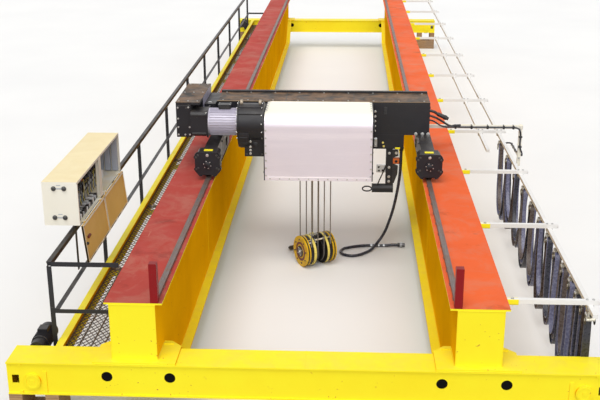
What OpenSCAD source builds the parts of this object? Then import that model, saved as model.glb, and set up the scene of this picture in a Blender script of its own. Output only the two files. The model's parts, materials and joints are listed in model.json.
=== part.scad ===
// Double-girder overhead bridge crane, standing on packing timbers.
// X runs across the girders, Y along the span, Z up from the floor.
// The origin is on the floor, midway between the girders and midway along the span.

/* [Bridge] */
// Distance between the centre lines of the two end trucks
span = 18500; // [12000:100:20000]
// Height of the top face of the girders above the floor
deck_z = 1250; // [1150:10:1500]
// Distance between the two trolley rails, centre to centre
gauge = 2500; // [2400:10:2700]
// Full depth of a girder, flange to flange
girder_h = 990; // [850:10:1050]
// Width of a top flange
flange_w = 490; // [480:5:520]
// Thickness of a top flange
flange_t = 15; // [10:1:25]
// From the rail centre to the inner edge of the top flange
flange_in = 65; // [50:1:80]
// Distance between the two webs of a girder, centre to centre
web_gap = 380; // [370:1:390]
// Thickness of a web
web_t = 8; // [6:1:12]
// Width of a bottom flange
bottom_w = 570; // [520:5:600]
// Thickness of a bottom flange
bottom_t = 12; // [8:1:20]
// Length of the raked part of a girder's underside
rake_l = 760; // [500:10:1200]
// Distance from the truck's outer edge to the girder's end
girder_inset = 70; // [40:5:100]

/* [Trolley rail] */
// Width of the trolley rail
rail_w = 50; // [40:1:60]
// Height of the trolley rail
rail_h = 30; // [20:1:40]
// Side of the square rail end stop
stop_w = 65; // [50:1:80]
// Height of the rail end stop above the girder
stop_h = 350; // [250:5:400]

/* [End trucks] */
// From the outer web of a girder to the end of the truck
truck_over = 896; // [860:2:960]
// Width of an end truck over its lips
truck_w = 320; // [280:5:360]
// Depth of an end truck
truck_h = 300; // [260:5:320]
// Height of a truck's top face below the top of the girders
truck_drop = 540; // [500:5:600]
// Lip of the top and bottom plates past the truck's webs
truck_lip = 16; // [8:1:24]
// Thickness of the truck's plates
truck_t = 12; // [8:1:16]
// Diameter of the round holes in the truck's webs
truck_hole_d = 95; // [60:1:120]
// Thickness of the seat plate between girder and truck
seat_t = 20; // [12:1:30]
// Width of a seat plate past each side of the girder's box
seat_side = 150; // [100:5:180]
// Height of a gusset on the seat plate
gusset_h = 160; // [120:5:200]
// Thickness of a gusset
gusset_t = 12; // [8:1:16]

/* [Travel wheels] */
// Distance from the end of the truck to a travel wheel
wheel_in = 217; // [205:1:240]
// Diameter of a travel wheel's tread
wheel_d = 310; // [290:1:320]
// Width of a travel wheel over its flanges
wheel_w = 110; // [90:1:140]
// Height of the wheel centres above the underside of the truck
axle_up = 125; // [115:1:135]
// Diameter of a wheel axle
axle_d = 70; // [50:1:80]
// Diameter of a bearing cap
cap_d = 144; // [110:1:150]
// Diameter of a travel motor
travel_motor_d = 150; // [120:1:160]
// Length of a travel motor
travel_motor_l = 260; // [200:5:280]

/* [Packing timbers] */
// Width of a packing timber
timber_w = 150; // [120:5:150]
// Length of a lower packing timber
timber_l = 430; // [430:5:430]
// Width of an upper packing timber
timber_top_w = 115; // [100:5:115]

/* [Walkway] */
// From the outer web of the girder to the outer face of the walkway beam
walk_w = 556; // [500:1:600]
// Depth of the channel that edges the walkway
channel_h = 160; // [120:5:200]
// Width of the channel's flanges
channel_b = 65; // [50:1:80]
// Thickness of the channel's web and flanges
channel_t = 8; // [6:1:12]
// Thickness of the grating
grate_t = 30; // [20:1:40]
// Width of a bar of the grating
grate_bar = 12; // [8:1:16]

/* [Handrail] */
// Number of bays between handrail posts
bays = 9; // [6:1:10]
// From the near end of the crane to the first post
post_near = 450; // [430:5:600]
// From the last post to the far end of the crane
post_far = 1045; // [600:5:1200]
// Height of the top rail above the top of the channel
handrail_h = 745; // [700:5:1100]
// Height of the middle rail above the top of the channel
midrail_h = 305; // [250:5:450]
// Width of the angle steel used for posts and rails
angle_w = 42; // [35:1:60]
// Thickness of the angle steel
angle_t = 5; // [4:1:8]

/* [Cabinet] */
// From the near end of the crane to the cabinet
cabinet_in = 1160; // [900:10:1400]
// Length of the cabinet along the span
cabinet_l = 1720; // [1400:10:1800]
// Depth of the cabinet
cabinet_d = 330; // [280:5:360]
// Height of the cabinet
cabinet_h = 420; // [360:5:480]
// Thickness of the cabinet's sheet
sheet_t = 4; // [3:0.5:6]
// Gap between the handrail and the underside of the cabinet
cabinet_gap = 60; // [50:1:100]
// Angle of the open doors past straight down
door_lean = 5.5; // [0:0.5:12]
// Thickness of a cabinet door with its folded edge
door_t = 18; // [14:1:24]

/* [Festoon] */
// Number of arms that carry the cable rails
arms = 11; // [8:1:12]
// Distance from the flange edge to the tip of an arm
arm_l = 770; // [700:5:800]
// Side of an arm's square tube
arm_w = 40; // [30:1:50]
// Length of the yellow stub that holds an arm
stub_l = 100; // [80:5:160]
// Distance from an arm's tip to the outer cable rail
rail_in = 75; // [60:1:100]
// Distance between the two cable rails
rail_apart = 250; // [200:5:300]
// Width of a cable rail
crail_w = 40; // [32:1:46]
// Height of a cable rail
crail_h = 36; // [30:1:44]
// Number of carriers between the tow carrier and the end clamp
carriers = 11; // [11:1:11]
// From the trolley's centre to the tow carrier
tow_lead = 1515; // [1400:5:1700]
// Growth of the gap from one pair of carriers to the next
gap_grow = 45; // [30:1:50]
// From the near end of the girders to the inner cable rail
inner_near = 4900; // [4500:10:6000]
// From the inner cable rail to the far end of the girders
inner_far = 5380; // [5000:10:6000]
// Drop of the cable loops below the carriers
loop_h = 1000; // [600:10:1010]

/* [Trolley] */
// From the near end of the girders to the trolley's centre, as it stands
trolley_in = 3965; // [3900:5:4400]
// Distance between the trolley's axles
wheelbase = 1070; // [1000:5:1200]
// Diameter of a trolley wheel
crab_wheel_d = 200; // [180:1:210]
// Width of a trolley side carriage
carriage_w = 150; // [130:5:170]
// Height of the top of a side carriage above the girder
carriage_up = 300; // [260:5:320]
// Width of a wheel drive housing
drive_w = 284; // [260:2:300]
// Height of a wheel drive housing
drive_h = 285; // [260:5:300]
// Depth of the cross beam along the span
beam_w = 530; // [480:5:560]
// Drop of the control panel below the cross beam
panel_drop = 175; // [100:5:200]
// Height of the top of the cross beam above the girder
beam_up = 700; // [660:5:760]
// Distance from the trolley's centre to the front of the cross beam
beam_y = 285; // [275:5:295]

/* [Hoist] */
// Length of the drum cover
cover_l = 1240; // [1200:5:1340]
// Depth of the drum cover
cover_d = 650; // [600:5:700]
// Height of the drum cover
cover_h = 785; // [740:5:820]
// Thickness of the drum cover's sheet
cover_t = 6; // [4:0.5:8]
// Diameter of the rope drum
drum_d = 360; // [300:5:380]
// Diameter of the hoist motor
motor_d = 320; // [280:5:330]
// Length of the hoist motor's ribbed body
motor_l = 340; // [280:2:350]
// Number of ribs around the hoist motor
ribs = 32; // [24:4:40]
// Length of the hoist gearbox
gear_l = 306; // [250:2:320]
// Diameter of the hoist gearbox's round body
gear_d = 430; // [400:5:440]
// Width of the square brake cover
brake_w = 326; // [300:2:340]
// Length of the brake cover
brake_l = 200; // [180:5:240]

/* [Hook block] */
// Turn of the hook block about the vertical
block_yaw = 30; // [0:1:40]
// Diameter of the hook block's drums
block_d = 380; // [370:5:400]
// Length of the hook block
block_l = 400; // [360:5:440]
// Diameter of a wire rope
rope_d = 14; // [10:1:18]
// Droop of the hook below level, as it lies on the floor
hook_droop = 16.8; // [8:0.1:16.8]

/* [Hidden] */
$fn = 48;
// Clearance of a wheel, a roller or a pin in its seat
run_gap = 0.3;
// Clearance between pieces that move past each other
air_gap = 6;

half = span / 2 + truck_w / 2;
girder_end = half - girder_inset;
rail_x = gauge / 2;
flange_x0 = rail_x - flange_in;
flange_x1 = flange_x0 + flange_w;
web_out = rail_x + web_gap + web_t / 2;
web_in = rail_x - web_t / 2;
box_mid = rail_x + web_gap / 2;
truck_z1 = deck_z - truck_drop;
truck_z0 = truck_z1 - truck_h;
box_z0 = deck_z - girder_h;
seat_z1 = truck_z1 + seat_t;
truck_y = span / 2;
truck_l = 2 * (web_out + truck_over);
wheel_x = truck_l / 2 - wheel_in;
truck_face = truck_y - truck_w / 2;
axle_z = truck_z0 + axle_up;
wheel_foot = axle_z - wheel_d / 2;
rail_top = deck_z + rail_h;
stop_face = girder_end - stop_w;

channel_x = -(web_out + walk_w);
channel_z1 = truck_z1;
channel_z0 = channel_z1 - channel_h;
channel_end = truck_face;
grate_z0 = channel_z0 + channel_t;
post_y0 = -half + post_near;
bay_l = (2 * half - post_near - post_far) / bays;
foot_t = 10;
post_x = channel_x - foot_t;

cab_x1 = channel_x + 60;
cab_x0 = cab_x1 - cabinet_d;
cab_z0 = channel_z1 + handrail_h + cabinet_gap;
cab_z1 = cab_z0 + cabinet_h;
cab_y0 = -half + cabinet_in;
cab_y1 = cab_y0 + cabinet_l;
door_gap = 6;
door_l = (cabinet_l - 3 * door_gap) / 2;
door_h = cabinet_h - 40;
hinge_x = cab_x1 + door_t / 2 + air_gap;
hinge_z = cab_z0 + sheet_t;
hinge_d = 8;
lug_d = 16;
lug_l = 30;
// Clearance of a hinge pin in its lug
pin_gap = 0.05;

arm_z1 = deck_z - flange_t;
arm_z0 = arm_z1 - arm_w;
arm_tip = flange_x1 + arm_l;
crail_x = arm_tip - rail_in;
crail_x2 = crail_x - rail_apart;
crail_z0 = arm_z0 - crail_h;
arm_in = 260;
arm_pitch = 2 * (girder_end - arm_in) / (arms - 1);
crail_t = 3;
slot_w = 14;
clamp_in = 220;
clamp_y = -girder_end + clamp_in;
trolley_y = -girder_end + trolley_in;
tow_y = trolley_y + tow_lead;
carrier_l = 76;
carrier_w = 60;
roller_d = crail_h - 2 * crail_t - 10;
// The gaps between carriers grow evenly from the end clamp to the tow arm
gap_mean = (tow_y - clamp_y) / (carriers + 1);
function carrier_y(i) = clamp_y + gap_mean * i + gap_grow * i * (i - carriers - 1) / 2;
neck_z = crail_z0 - air_gap;
saddle_r = 38;
cable_t = 8;
cable_w = 70;

crab_axle_z = rail_top + run_gap + crab_wheel_d / 2;
carriage_z1 = deck_z + carriage_up;
carriage_z0 = rail_top + 20;
beam_z1 = deck_z + beam_up;
beam_z0 = carriage_z1;
beam_x0 = -rail_x;
beam_x1 = rail_x + 60;
beam_y0 = trolley_y + beam_y;
beam_y1 = beam_y0 + beam_w;
carriage_y1 = beam_y1;
carriage_t = 10;
drive_y0 = trolley_y - wheelbase / 2 - crab_wheel_d / 2 - 35;
drive_y1 = trolley_y - wheelbase / 2 + 105;
cover_x0 = -cover_l / 2 - 6;
cover_y1 = beam_y0;
cover_y0 = cover_y1 - cover_d;
cover_z1 = beam_z1;
cover_z0 = cover_z1 - cover_h;
cover_r = 150;
end_t = 12;
drum_y = cover_y0 + cover_d / 2;
drum_z = cover_z1 - 230;
sheave_z = cover_z0 + 190;
gear_x1 = cover_x0 - end_t;
gear_x0 = gear_x1 - gear_l;
motor_in = 430;
motor_y = beam_y0 - motor_in;
motor_z = beam_z1 - 140;
motor_x0 = gear_x0 - motor_l;
tow_w = 40;
tow_z = beam_z0 - 50;
tow_x = arm_tip + 30;
tow_foot = crail_z0 - 140;

// Cable along the tow arm, from the beam's end to the leading carrier
tow_cable_d = 20;
tow_route = [[1310, -4700, 1640], [1325, -4700, 1640], [1340, -4700, 1640], [1390, -4690, 1625],
  [1450, -4650, 1580], [1500, -4600, 1540], [1560, -4573, 1521], [1640, -4571, 1520],
  [1850, -4571, 1520], [2050, -4571, 1520], [2250, -4571, 1520], [2360, -4571, 1520],
  [2415, -4571, 1520], [2472, -4571, 1497], [2495, -4571, 1440], [2495, -4571, 1370],
  [2495, -4571, 1300], [2506, -4573, 1240], [2526, -4570, 1190], [2533, -4545, 1152],
  [2531, -4500, 1141], [2522, -4440, 1141], [2508, -4380, 1141], [2497, -4310, 1141],
  [2495, -4240, 1141], [2495, -4120, 1141], [2495, -4000, 1141], [2492, -3955, 1141],
  [2474, -3914, 1137], [2448, -3888, 1130], [2425, -3880, 1125], [2413, -3880, 1125],
  [2401, -3880, 1125]];
// Control cable that hangs from the panel and lies in a bight on the floor
pendant_d = 36;
pendant_route = [[985, -5030, 1340], [985, -5030, 1310], [985, -5030, 1280], [983, -5033, 1160],
  [974, -5039, 1010], [955, -5040, 850], [930, -5025, 690], [900, -4990, 530], [865, -4930, 380],
  [830, -4880, 250], [785, -4865, 150], [735, -4890, 85], [690, -4945, 46], [648, -5010, 26],
  [600, -5070, 19], [545, -5130, 19], [499, -5174, 19], [400, -5215, 19], [301, -5174, 19],
  [260, -5075, 19], [301, -4976, 19], [330, -4954, 19], [420, -4905, 19], [520, -4870, 19],
  [620, -4853, 19], [740, -4850, 19], [850, -4850, 22], [910, -4850, 30], [945, -4850, 31],
  [965, -4850, 31], [985, -4850, 31]];

rope_x = -50;
rope_y = drum_y;
block_z = block_d / 2 + 1;
rope_reach = 150;
rope_pitch = 85;
rope_top = sheave_z;
yoke_pin = 235;
shank_d = 50;

module mirrored_x() {
  children();
  mirror([1, 0, 0]) children();
}

module mirrored_y() {
  children();
  mirror([0, 1, 0]) children();
}

// Box from one corner to the opposite one
module block(a, b) {
  translate(a) cube(b - a);
}

// Cylinder along Y from y0 to y1
module rod_y(x, y0, y1, z, d) {
  translate([x, y0, z]) rotate([-90, 0, 0]) cylinder(h = y1 - y0, d = d);
}

// Cylinder along X from x0 to x1
module rod_x(x0, x1, y, z, d) {
  translate([x0, y, z]) rotate([0, 90, 0]) cylinder(h = x1 - x0, d = d);
}

// Outline in the Y-Z plane, extruded along X from x0 to x1
module side_profile(x0, x1, points) {
  translate([x0, 0, 0]) rotate([90, 0, 90]) linear_extrude(x1 - x0) polygon(points);
}

rake_y1 = truck_face - 30;
rake_y0 = rake_y1 - rake_l;

module girder_web(x) {
  y = girder_end - web_t;
  side_profile(x - web_t / 2, x + web_t / 2, [[-y, deck_z - flange_t], [-y, seat_z1],
    [-rake_y1, seat_z1 + bottom_t], [-rake_y0, box_z0 + bottom_t], [rake_y0, box_z0 + bottom_t],
    [rake_y1, seat_z1 + bottom_t], [y, seat_z1], [y, deck_z - flange_t]]);
}

module girder_bottom() {
  x0 = box_mid - bottom_w / 2;
  side_profile(x0, x0 + bottom_w, [[-rake_y1, seat_z1], [-rake_y1, seat_z1 + bottom_t],
    [-rake_y0, box_z0 + bottom_t], [rake_y0, box_z0 + bottom_t], [rake_y1, seat_z1 + bottom_t],
    [rake_y1, seat_z1], [rake_y0 + 1, box_z0], [-rake_y0 - 1, box_z0]]);
}

module girder() {
  girder_web(rail_x);
  girder_web(rail_x + web_gap);
  girder_bottom();
  mirrored_y() block([web_in, -girder_end, seat_z1],
    [web_out, -girder_end + web_t, deck_z - flange_t]);
}

module girder_right() {
  color("gold") girder();
}

module girder_left() {
  color("gold") mirror([1, 0, 0]) girder();
}

module top_flanges() {
  color("firebrick") mirrored_x() block([flange_x0, -girder_end, deck_z - flange_t],
    [flange_x1, girder_end, deck_z]);
}

module trolley_rails() {
  color("dimgray") mirrored_x() block([rail_x - rail_w / 2, -stop_face, deck_z],
    [rail_x + rail_w / 2, stop_face, rail_top]);
}

module rail_end_stops() {
  color("red") mirrored_x() mirrored_y()
    block([rail_x - stop_w / 2, -girder_end, deck_z],
      [rail_x + stop_w / 2, -stop_face, deck_z + stop_h]);
}

truck_web_y = truck_w / 2 - truck_lip;
truck_web_t = 8;
pocket_l = wheel_d + 20;
pocket_x = wheel_x - pocket_l / 2;
// Holes and slots in the truck's webs
hole_out = 106;
hole_in = 41;
hole_down = 123;
slot_in = 40;
slot_size = [60, 78];

module end_truck() {
  translate([0, -truck_y, 0]) difference() {
    union() {
      for (z = [truck_z0, truck_z1 - truck_t])
        block([-truck_l / 2, -truck_w / 2, z], [truck_l / 2, truck_w / 2, z + truck_t]);
      mirrored_y() block([-truck_l / 2, truck_web_y - truck_web_t, truck_z0],
        [truck_l / 2, truck_web_y, truck_z1]);
      mirrored_x() block([truck_l / 2 - truck_t, -truck_web_y, truck_z0],
        [truck_l / 2, truck_web_y, truck_z1]);
      mirrored_x() block([pocket_x - truck_t, -truck_web_y, truck_z0],
        [pocket_x, truck_web_y, truck_z1]);
      mirrored_x() mirrored_y() block([pocket_x + 42, truck_web_y, truck_z0 + truck_t],
        [pocket_x + 76, truck_web_y + 8, truck_z1 - 85]);
    }
    mirrored_x() {
      rod_y(wheel_x, -truck_w, truck_w, axle_z, axle_d + 2 * run_gap);
      block([wheel_x - pocket_l / 2, -wheel_w / 2 - 5, truck_z0 - 1],
        [wheel_x + pocket_l / 2, wheel_w / 2 + 5, truck_z0 + truck_t + 1]);
      for (x = [web_in - hole_out, web_out + hole_in])
        rod_y(x, -truck_w, truck_w, truck_z1 - hole_down, truck_hole_d);
      block([truck_l / 2 - slot_in - slot_size[0], -truck_w, axle_z - slot_size[1] / 2 + 15],
        [truck_l / 2 - slot_in, truck_w, axle_z + slot_size[1] / 2 + 15]);
    }
  }
}

cap_over = 6;

module bearing_caps() {
  mirrored_x() mirrored_y()
    rod_y(wheel_x, truck_web_y, truck_web_y + truck_lip + cap_over, axle_z, cap_d);
}

module end_trucks() {
  color("gold") mirrored_y() {
    end_truck();
    translate([0, -truck_y, 0]) bearing_caps();
  }
}

module truck_seats() {
  color("gold") mirrored_x() mirrored_y() {
    block([web_in - seat_side, -girder_end, truck_z1],
      [web_out + seat_side, -truck_face - 5, seat_z1]);
    for (x = [web_in - seat_side + 10, web_out])
      translate([x, -truck_y + gusset_t / 2, seat_z1]) rotate([90, 0, 0])
        linear_extrude(gusset_t)
          polygon(x < rail_x ? [[0, 0], [seat_side - 10, 0], [seat_side - 10, gusset_h]]
            : [[0, 0], [seat_side - 10, 0], [0, gusset_h]]);
  }
}

module travel_wheel() {
  rod_y(wheel_x, -wheel_w / 2, wheel_w / 2, axle_z, wheel_d);
  rod_y(wheel_x, -truck_web_y, truck_web_y, axle_z, axle_d);
}

module travel_wheels() {
  color("dimgray") mirrored_x() for (y = [-truck_y, truck_y]) translate([0, y, 0]) travel_wheel();
}

travel_gear_w = 140;
travel_gear_t = 90;

// Gear case on the wheel's axle, with its motor lying along the span
module travel_drives() {
  x = -wheel_x - 45;
  y = -truck_face + cap_over;
  z = truck_z1 - 40;
  color("black") mirrored_y() {
    hull() {
      rod_y(-wheel_x, y, y + travel_gear_t, axle_z, travel_gear_w);
      rod_y(x, y, y + travel_gear_t, z, travel_gear_w);
    }
    rod_y(x, y + travel_gear_t, y + travel_gear_t + 20, z, travel_motor_d + 10);
    rod_y(x, y + travel_gear_t, y + travel_gear_t + travel_motor_l, z, travel_motor_d);
    block([x - 45, y + travel_gear_t + 90, z],
      [x + 45, y + travel_gear_t + 190, z + travel_motor_d / 2 + 25]);
  }
}

timber_h = truck_z0 / 2;

module packing_timbers() {
  color("burlywood") mirrored_x() mirrored_y() {
    for (y = [-truck_y - truck_w / 2, -truck_y + truck_w / 2 - timber_w])
      block([wheel_x - timber_l / 2, y, 0], [wheel_x + timber_l / 2, y + timber_w, timber_h]);
    for (x = [wheel_x - timber_l / 2, wheel_x + timber_l / 2 - timber_top_w])
      block([x, -truck_y - truck_w / 2, timber_h],
        [x + timber_top_w, -truck_y + truck_w / 2, truck_z0]);
  }
}

module walkway_beam() {
  x = channel_x;
  color("gold") translate([0, channel_end, 0]) rotate([90, 0, 0]) linear_extrude(2 * channel_end)
    polygon([[x, channel_z0], [x + channel_b, channel_z0], [x + channel_b, grate_z0],
      [x + channel_t, grate_z0], [x + channel_t, channel_z1 - channel_t],
      [x + channel_b, channel_z1 - channel_t], [x + channel_b, channel_z1], [x, channel_z1]]);
}

bracket_h = 60;

module post_feet() {
  for (i = [0 : bays]) translate([channel_x, post_y0 + i * bay_l, 0])
    block([-foot_t, -45, channel_z0 + 10], [0, 45, channel_z1 - 10]);
}

module walkway_brackets() {
  color("gold") {
    post_feet();
    for (i = [0 : bays]) let (y = post_y0 + i * bay_l) translate([0, y, 0])
      block([channel_x, -20, channel_z0 - bracket_h],
        [abs(y) < rake_y0 + 80 ? -web_out : notch_x, 20, channel_z0]);
    block([-web_out - 50, -rake_y0, channel_z0], [-web_out, rake_y0, grate_z0]);
  }
}

grate_x0 = channel_x + channel_t + 4;
grate_x1 = -web_out - 4;
// The end panels of the grating stop short of the raked bottom flange
notch_x = -(box_mid + bottom_w / 2) - 4;

module walkway_grating() {
  panel = 2 * rake_y1 / bays;
  slots = 6;
  color("dimgray") for (i = [0 : bays - 1]) let (
    x1 = i == 0 || i == bays - 1 ? notch_x : grate_x1,
    pitch = (x1 - grate_x0 - grate_bar) / slots
  ) translate([0, -rake_y1 + i * panel, 0]) difference() {
    block([grate_x0, 3, grate_z0], [x1, panel - 3, grate_z0 + grate_t]);
    for (k = [0 : slots - 1])
      block([grate_x0 + grate_bar + k * pitch, 3 + grate_bar, grate_z0 - 1],
        [grate_x0 + (k + 1) * pitch, panel - 3 - grate_bar, grate_z0 + grate_t + 1]);
  }
}

module angle_bar(l) {
  linear_extrude(l) polygon([[0, 0], [angle_w, 0], [angle_w, angle_t], [angle_t, angle_t],
    [angle_t, angle_w], [0, angle_w]]);
}

rail_z = channel_z1 + handrail_h;
mid_z = channel_z1 + midrail_h;
rail_y0 = post_y0 - angle_w / 2;
rail_y1 = post_y0 + bays * bay_l + angle_w / 2;

module handrail_posts() {
  color("black") for (i = [0 : bays])
    translate([post_x - angle_w, post_y0 + i * bay_l - angle_w / 2, channel_z0 + 10])
      angle_bar(rail_z - channel_z0 - 10 - angle_w);
}

module long_rail(z) {
  translate([post_x - angle_w, rail_y1, z]) rotate([90, 0, 0]) linear_extrude(rail_y1 - rail_y0)
    polygon([[0, 0], [angle_t, 0], [angle_t, -angle_w + angle_t], [0, -angle_w + angle_t],
      [0, 0], [angle_w, 0], [angle_w, -angle_t], [0, -angle_t]]);
}

module handrail_rails() {
  color("black") {
    block([post_x - angle_w, rail_y0, rail_z - angle_t], [post_x, rail_y1, rail_z]);
    block([post_x - angle_t, rail_y0, rail_z - angle_w], [post_x, rail_y1, rail_z - angle_t]);
    block([post_x, rail_y0, mid_z - angle_w], [post_x + angle_t, rail_y1, mid_z]);
    block([post_x + angle_t, rail_y0, mid_z - angle_t], [post_x + angle_w, rail_y1, mid_z]);
    for (y = [rail_y0, rail_y1 - angle_t]) {
      block([post_x, y, rail_z - angle_w], [-flange_x1 + 60, y + angle_t, rail_z]);
      block([post_x + angle_t, y, mid_z - angle_w], [-web_out, y + angle_t, mid_z - angle_t]);
    }
  }
}

door_y = [cab_y0 + door_gap, cab_y0 + 2 * door_gap + door_l];
lug_y = [100, door_l - 100 - lug_l];

module hinge_lug(y) {
  difference() {
    union() {
      rod_y(hinge_x, y, y + lug_l, hinge_z, lug_d);
      block([cab_x1 - 25, y, hinge_z - lug_d / 2], [hinge_x, y + lug_l, hinge_z + lug_d / 2]);
    }
    rod_y(hinge_x, y - 1, y + lug_l + 1, hinge_z, hinge_d + 2 * pin_gap);
  }
}

module cabinet_case() {
  color("cornsilk") {
    difference() {
      block([cab_x0, cab_y0, cab_z0], [cab_x1, cab_y1, cab_z1]);
      block([cab_x0 + sheet_t, cab_y0 + sheet_t, cab_z0 + sheet_t],
        [cab_x1 + 1, cab_y1 - sheet_t, cab_z1 - sheet_t]);
    }
    block([cab_x1 - 40, (cab_y0 + cab_y1) / 2 - 20, cab_z0 + sheet_t],
      [cab_x1, (cab_y0 + cab_y1) / 2 + 20, cab_z1 - sheet_t]);
    for (y = door_y, l = lug_y) hinge_lug(y + l);
  }
}

module cabinet_fittings() {
  color("gray") {
    block([cab_x0 + sheet_t, cab_y0 + 40, cab_z0 + 30],
      [cab_x0 + sheet_t + 3, cab_y1 - 40, cab_z1 - 30]);
    for (i = [0 : 5]) translate([cab_x0 + sheet_t + 3, cab_y0 + 90 + i * 255, cab_z0 + 90])
      cube([110, 180, 160]);
  }
}

module cabinet_brackets() {
  color("black") for (y = [cab_y0 + 250, cab_y1 - 250]) {
    block([post_x - angle_w, y - 20, rail_z], [cab_x1 - 20, y + 20, cab_z0]);
    block([post_x - angle_w - 8, y - 20, mid_z - angle_w], [post_x - angle_w, y + 20, cab_z0]);
  }
}

module cabinet_door(y0) {
  translate([hinge_x, y0, hinge_z]) rotate([0, -door_lean, 0]) {
    difference() {
      block([-door_t / 2, 0, -door_h], [door_t / 2, door_l, -10]);
      block([-door_t / 2 + 2, 2, -door_h + 2], [door_t / 2 + 1, door_l - 2, -12]);
    }
    for (y = lug_y) {
      rod_y(0, y - 12, y + lug_l + 12, 0, hinge_d);
      for (e = [y - 12, y + lug_l + 2]) {
        rod_y(0, e, e + 10, 0, lug_d);
        block([-door_t / 2, e, -12], [-door_t / 2 + 5, e + 10, 0]);
      }
    }
  }
}

module cabinet_door_near() {
  color("wheat") cabinet_door(door_y[0]);
}

module cabinet_door_far() {
  color("wheat") cabinet_door(door_y[1]);
}

module at_arms() {
  for (i = [0 : arms - 1]) translate([0, -girder_end + arm_in + i * arm_pitch, 0]) children();
}

module festoon_stubs() {
  color("gold") at_arms() difference() {
    block([web_out, -arm_w / 2 - 6, arm_z0 - 6], [flange_x1 + stub_l, arm_w / 2 + 6, arm_z1]);
    block([flange_x1, -arm_w / 2, arm_z0], [flange_x1 + stub_l + 1, arm_w / 2, arm_z1 + 1]);
  }
}

module festoon_arms() {
  color("gainsboro") at_arms()
    block([flange_x1, -arm_w / 2, arm_z0], [arm_tip, arm_w / 2, arm_z1]);
}

module c_rail(x, y0, y1) {
  w = crail_w / 2;
  translate([x, y1, crail_z0]) rotate([90, 0, 0]) linear_extrude(y1 - y0) difference() {
    translate([-w, 0]) square([crail_w, crail_h]);
    translate([-w + crail_t, crail_t]) square([crail_w - 2 * crail_t, crail_h - 2 * crail_t]);
    translate([-slot_w / 2, -1]) square([slot_w, crail_h / 2]);
  }
}

module festoon_rails() {
  color("gainsboro") {
    c_rail(crail_x, -girder_end + 60, girder_end - 60);
    c_rail(crail_x2, -girder_end + inner_near, girder_end - inner_far);
  }
}

module festoon_end_clamp() {
  color("dimgray") translate([crail_x, clamp_y, 0]) {
    block([-carrier_w / 2, -carrier_l / 2, crail_z0 - 50], [carrier_w / 2, carrier_l / 2, crail_z0]);
    translate([0, 0, crail_z0 - 46]) saddle();
  }
}

// Half-round saddle that the flat cables lie over, with its top at z = 0
module saddle() {
  intersection() {
    rod_x(-cable_w / 2 - 5, cable_w / 2 + 5, 0, -saddle_r, 2 * saddle_r);
    block([-cable_w, -saddle_r, -saddle_r], [cable_w, saddle_r, 0]);
  }
}

module carrier() {
  color("dimgray") {
    block([-slot_w / 2 + 4, -carrier_l / 2, neck_z - 10],
      [slot_w / 2 - 4, carrier_l / 2, crail_z0 + crail_t + roller_d / 2]);
    for (y = [-22, 22]) rod_x(-crail_w / 2 + crail_t + 4, crail_w / 2 - crail_t - 4, y,
      crail_z0 + crail_t + run_gap + roller_d / 2, roller_d);
    block([-carrier_w / 2, -carrier_l / 2, neck_z - 50], [carrier_w / 2, carrier_l / 2, neck_z - 10]);
    translate([0, 0, neck_z - 46]) saddle();
  }
}

module festoon_carrier(i) {
  translate([crail_x, carrier_y(i), 0]) carrier();
}

module festoon_carrier_1() { festoon_carrier(1); }
module festoon_carrier_2() { festoon_carrier(2); }
module festoon_carrier_3() { festoon_carrier(3); }
module festoon_carrier_4() { festoon_carrier(4); }
module festoon_carrier_5() { festoon_carrier(5); }
module festoon_carrier_6() { festoon_carrier(6); }
module festoon_carrier_7() { festoon_carrier(7); }
module festoon_carrier_8() { festoon_carrier(8); }
module festoon_carrier_9() { festoon_carrier(9); }
module festoon_carrier_10() { festoon_carrier(10); }
module festoon_carrier_11() { festoon_carrier(11); }

module tow_carrier() {
  festoon_carrier(carriers + 1);
}

// Flat cable bundle hanging in a loop from y0 to y1
module cable_loop(y0, y1) {
  ya = y0 + saddle_r + run_gap;
  yb = y1 - saddle_r - run_gap;
  r = (yb - ya) / 2;
  z1 = neck_z - 50 - saddle_r + 15;
  z0 = z1 - loop_h + r;
  translate([crail_x - cable_w / 2, 0, 0]) rotate([90, 0, 90]) linear_extrude(cable_w) {
    for (y = [ya, yb - cable_t]) translate([y, z0]) square([cable_t, z1 - z0]);
    translate([(ya + yb) / 2, z0]) difference() {
      circle(r = r);
      circle(r = r - cable_t);
      translate([-2 * r, 0]) square([4 * r, 2 * r]);
    }
  }
}

module festoon_cables() {
  color("midnightblue") for (i = [0 : carriers]) cable_loop(carrier_y(i), carrier_y(i + 1));
}

module trolley_carriages() {
  color("black") mirrored_x() difference() {
    block([rail_x - carriage_w / 2, drive_y1, carriage_z0],
      [rail_x + carriage_w / 2, carriage_y1, carriage_z1]);
    block([rail_x - carriage_w / 2 + carriage_t, drive_y1 - 1, carriage_z0 - 1],
      [rail_x + carriage_w / 2 - carriage_t, carriage_y1 - carriage_t, carriage_z1 - carriage_t]);
  }
}

crab_wheel_w = 80;
pocket_w = 100;

// Double-flanged wheel on its axle
module trolley_wheel(y, axle) {
  rod_x(rail_x - crab_wheel_w / 2, rail_x + crab_wheel_w / 2, y, crab_axle_z, crab_wheel_d);
  for (x = [rail_x - crab_wheel_w / 2, rail_x + rail_w / 2 + 3])
    rod_x(x, x + crab_wheel_w / 2 - rail_w / 2 - 3, y, crab_axle_z, crab_wheel_d + 30);
  rod_x(rail_x - axle / 2, rail_x + axle / 2, y, crab_axle_z, 50);
}

module trolley_wheels() {
  color("dimgray") mirrored_x() {
    trolley_wheel(trolley_y - wheelbase / 2, pocket_w);
    trolley_wheel(trolley_y + wheelbase / 2, carriage_w - 2 * carriage_t);
  }
}

ear_d = 52;

module drive_outline(inset) {
  w = drive_w / 2 - inset;
  z0 = carriage_z0 + inset;
  z1 = carriage_z0 + drive_h - inset;
  polygon([[-w + 50, z0], [w - 50, z0], [w, z0 + 60], [w, z1 - 25], [w - 25, z1],
    [-w + 25, z1], [-w, z1 - 25], [-w, z0 + 60]]);
}

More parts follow.
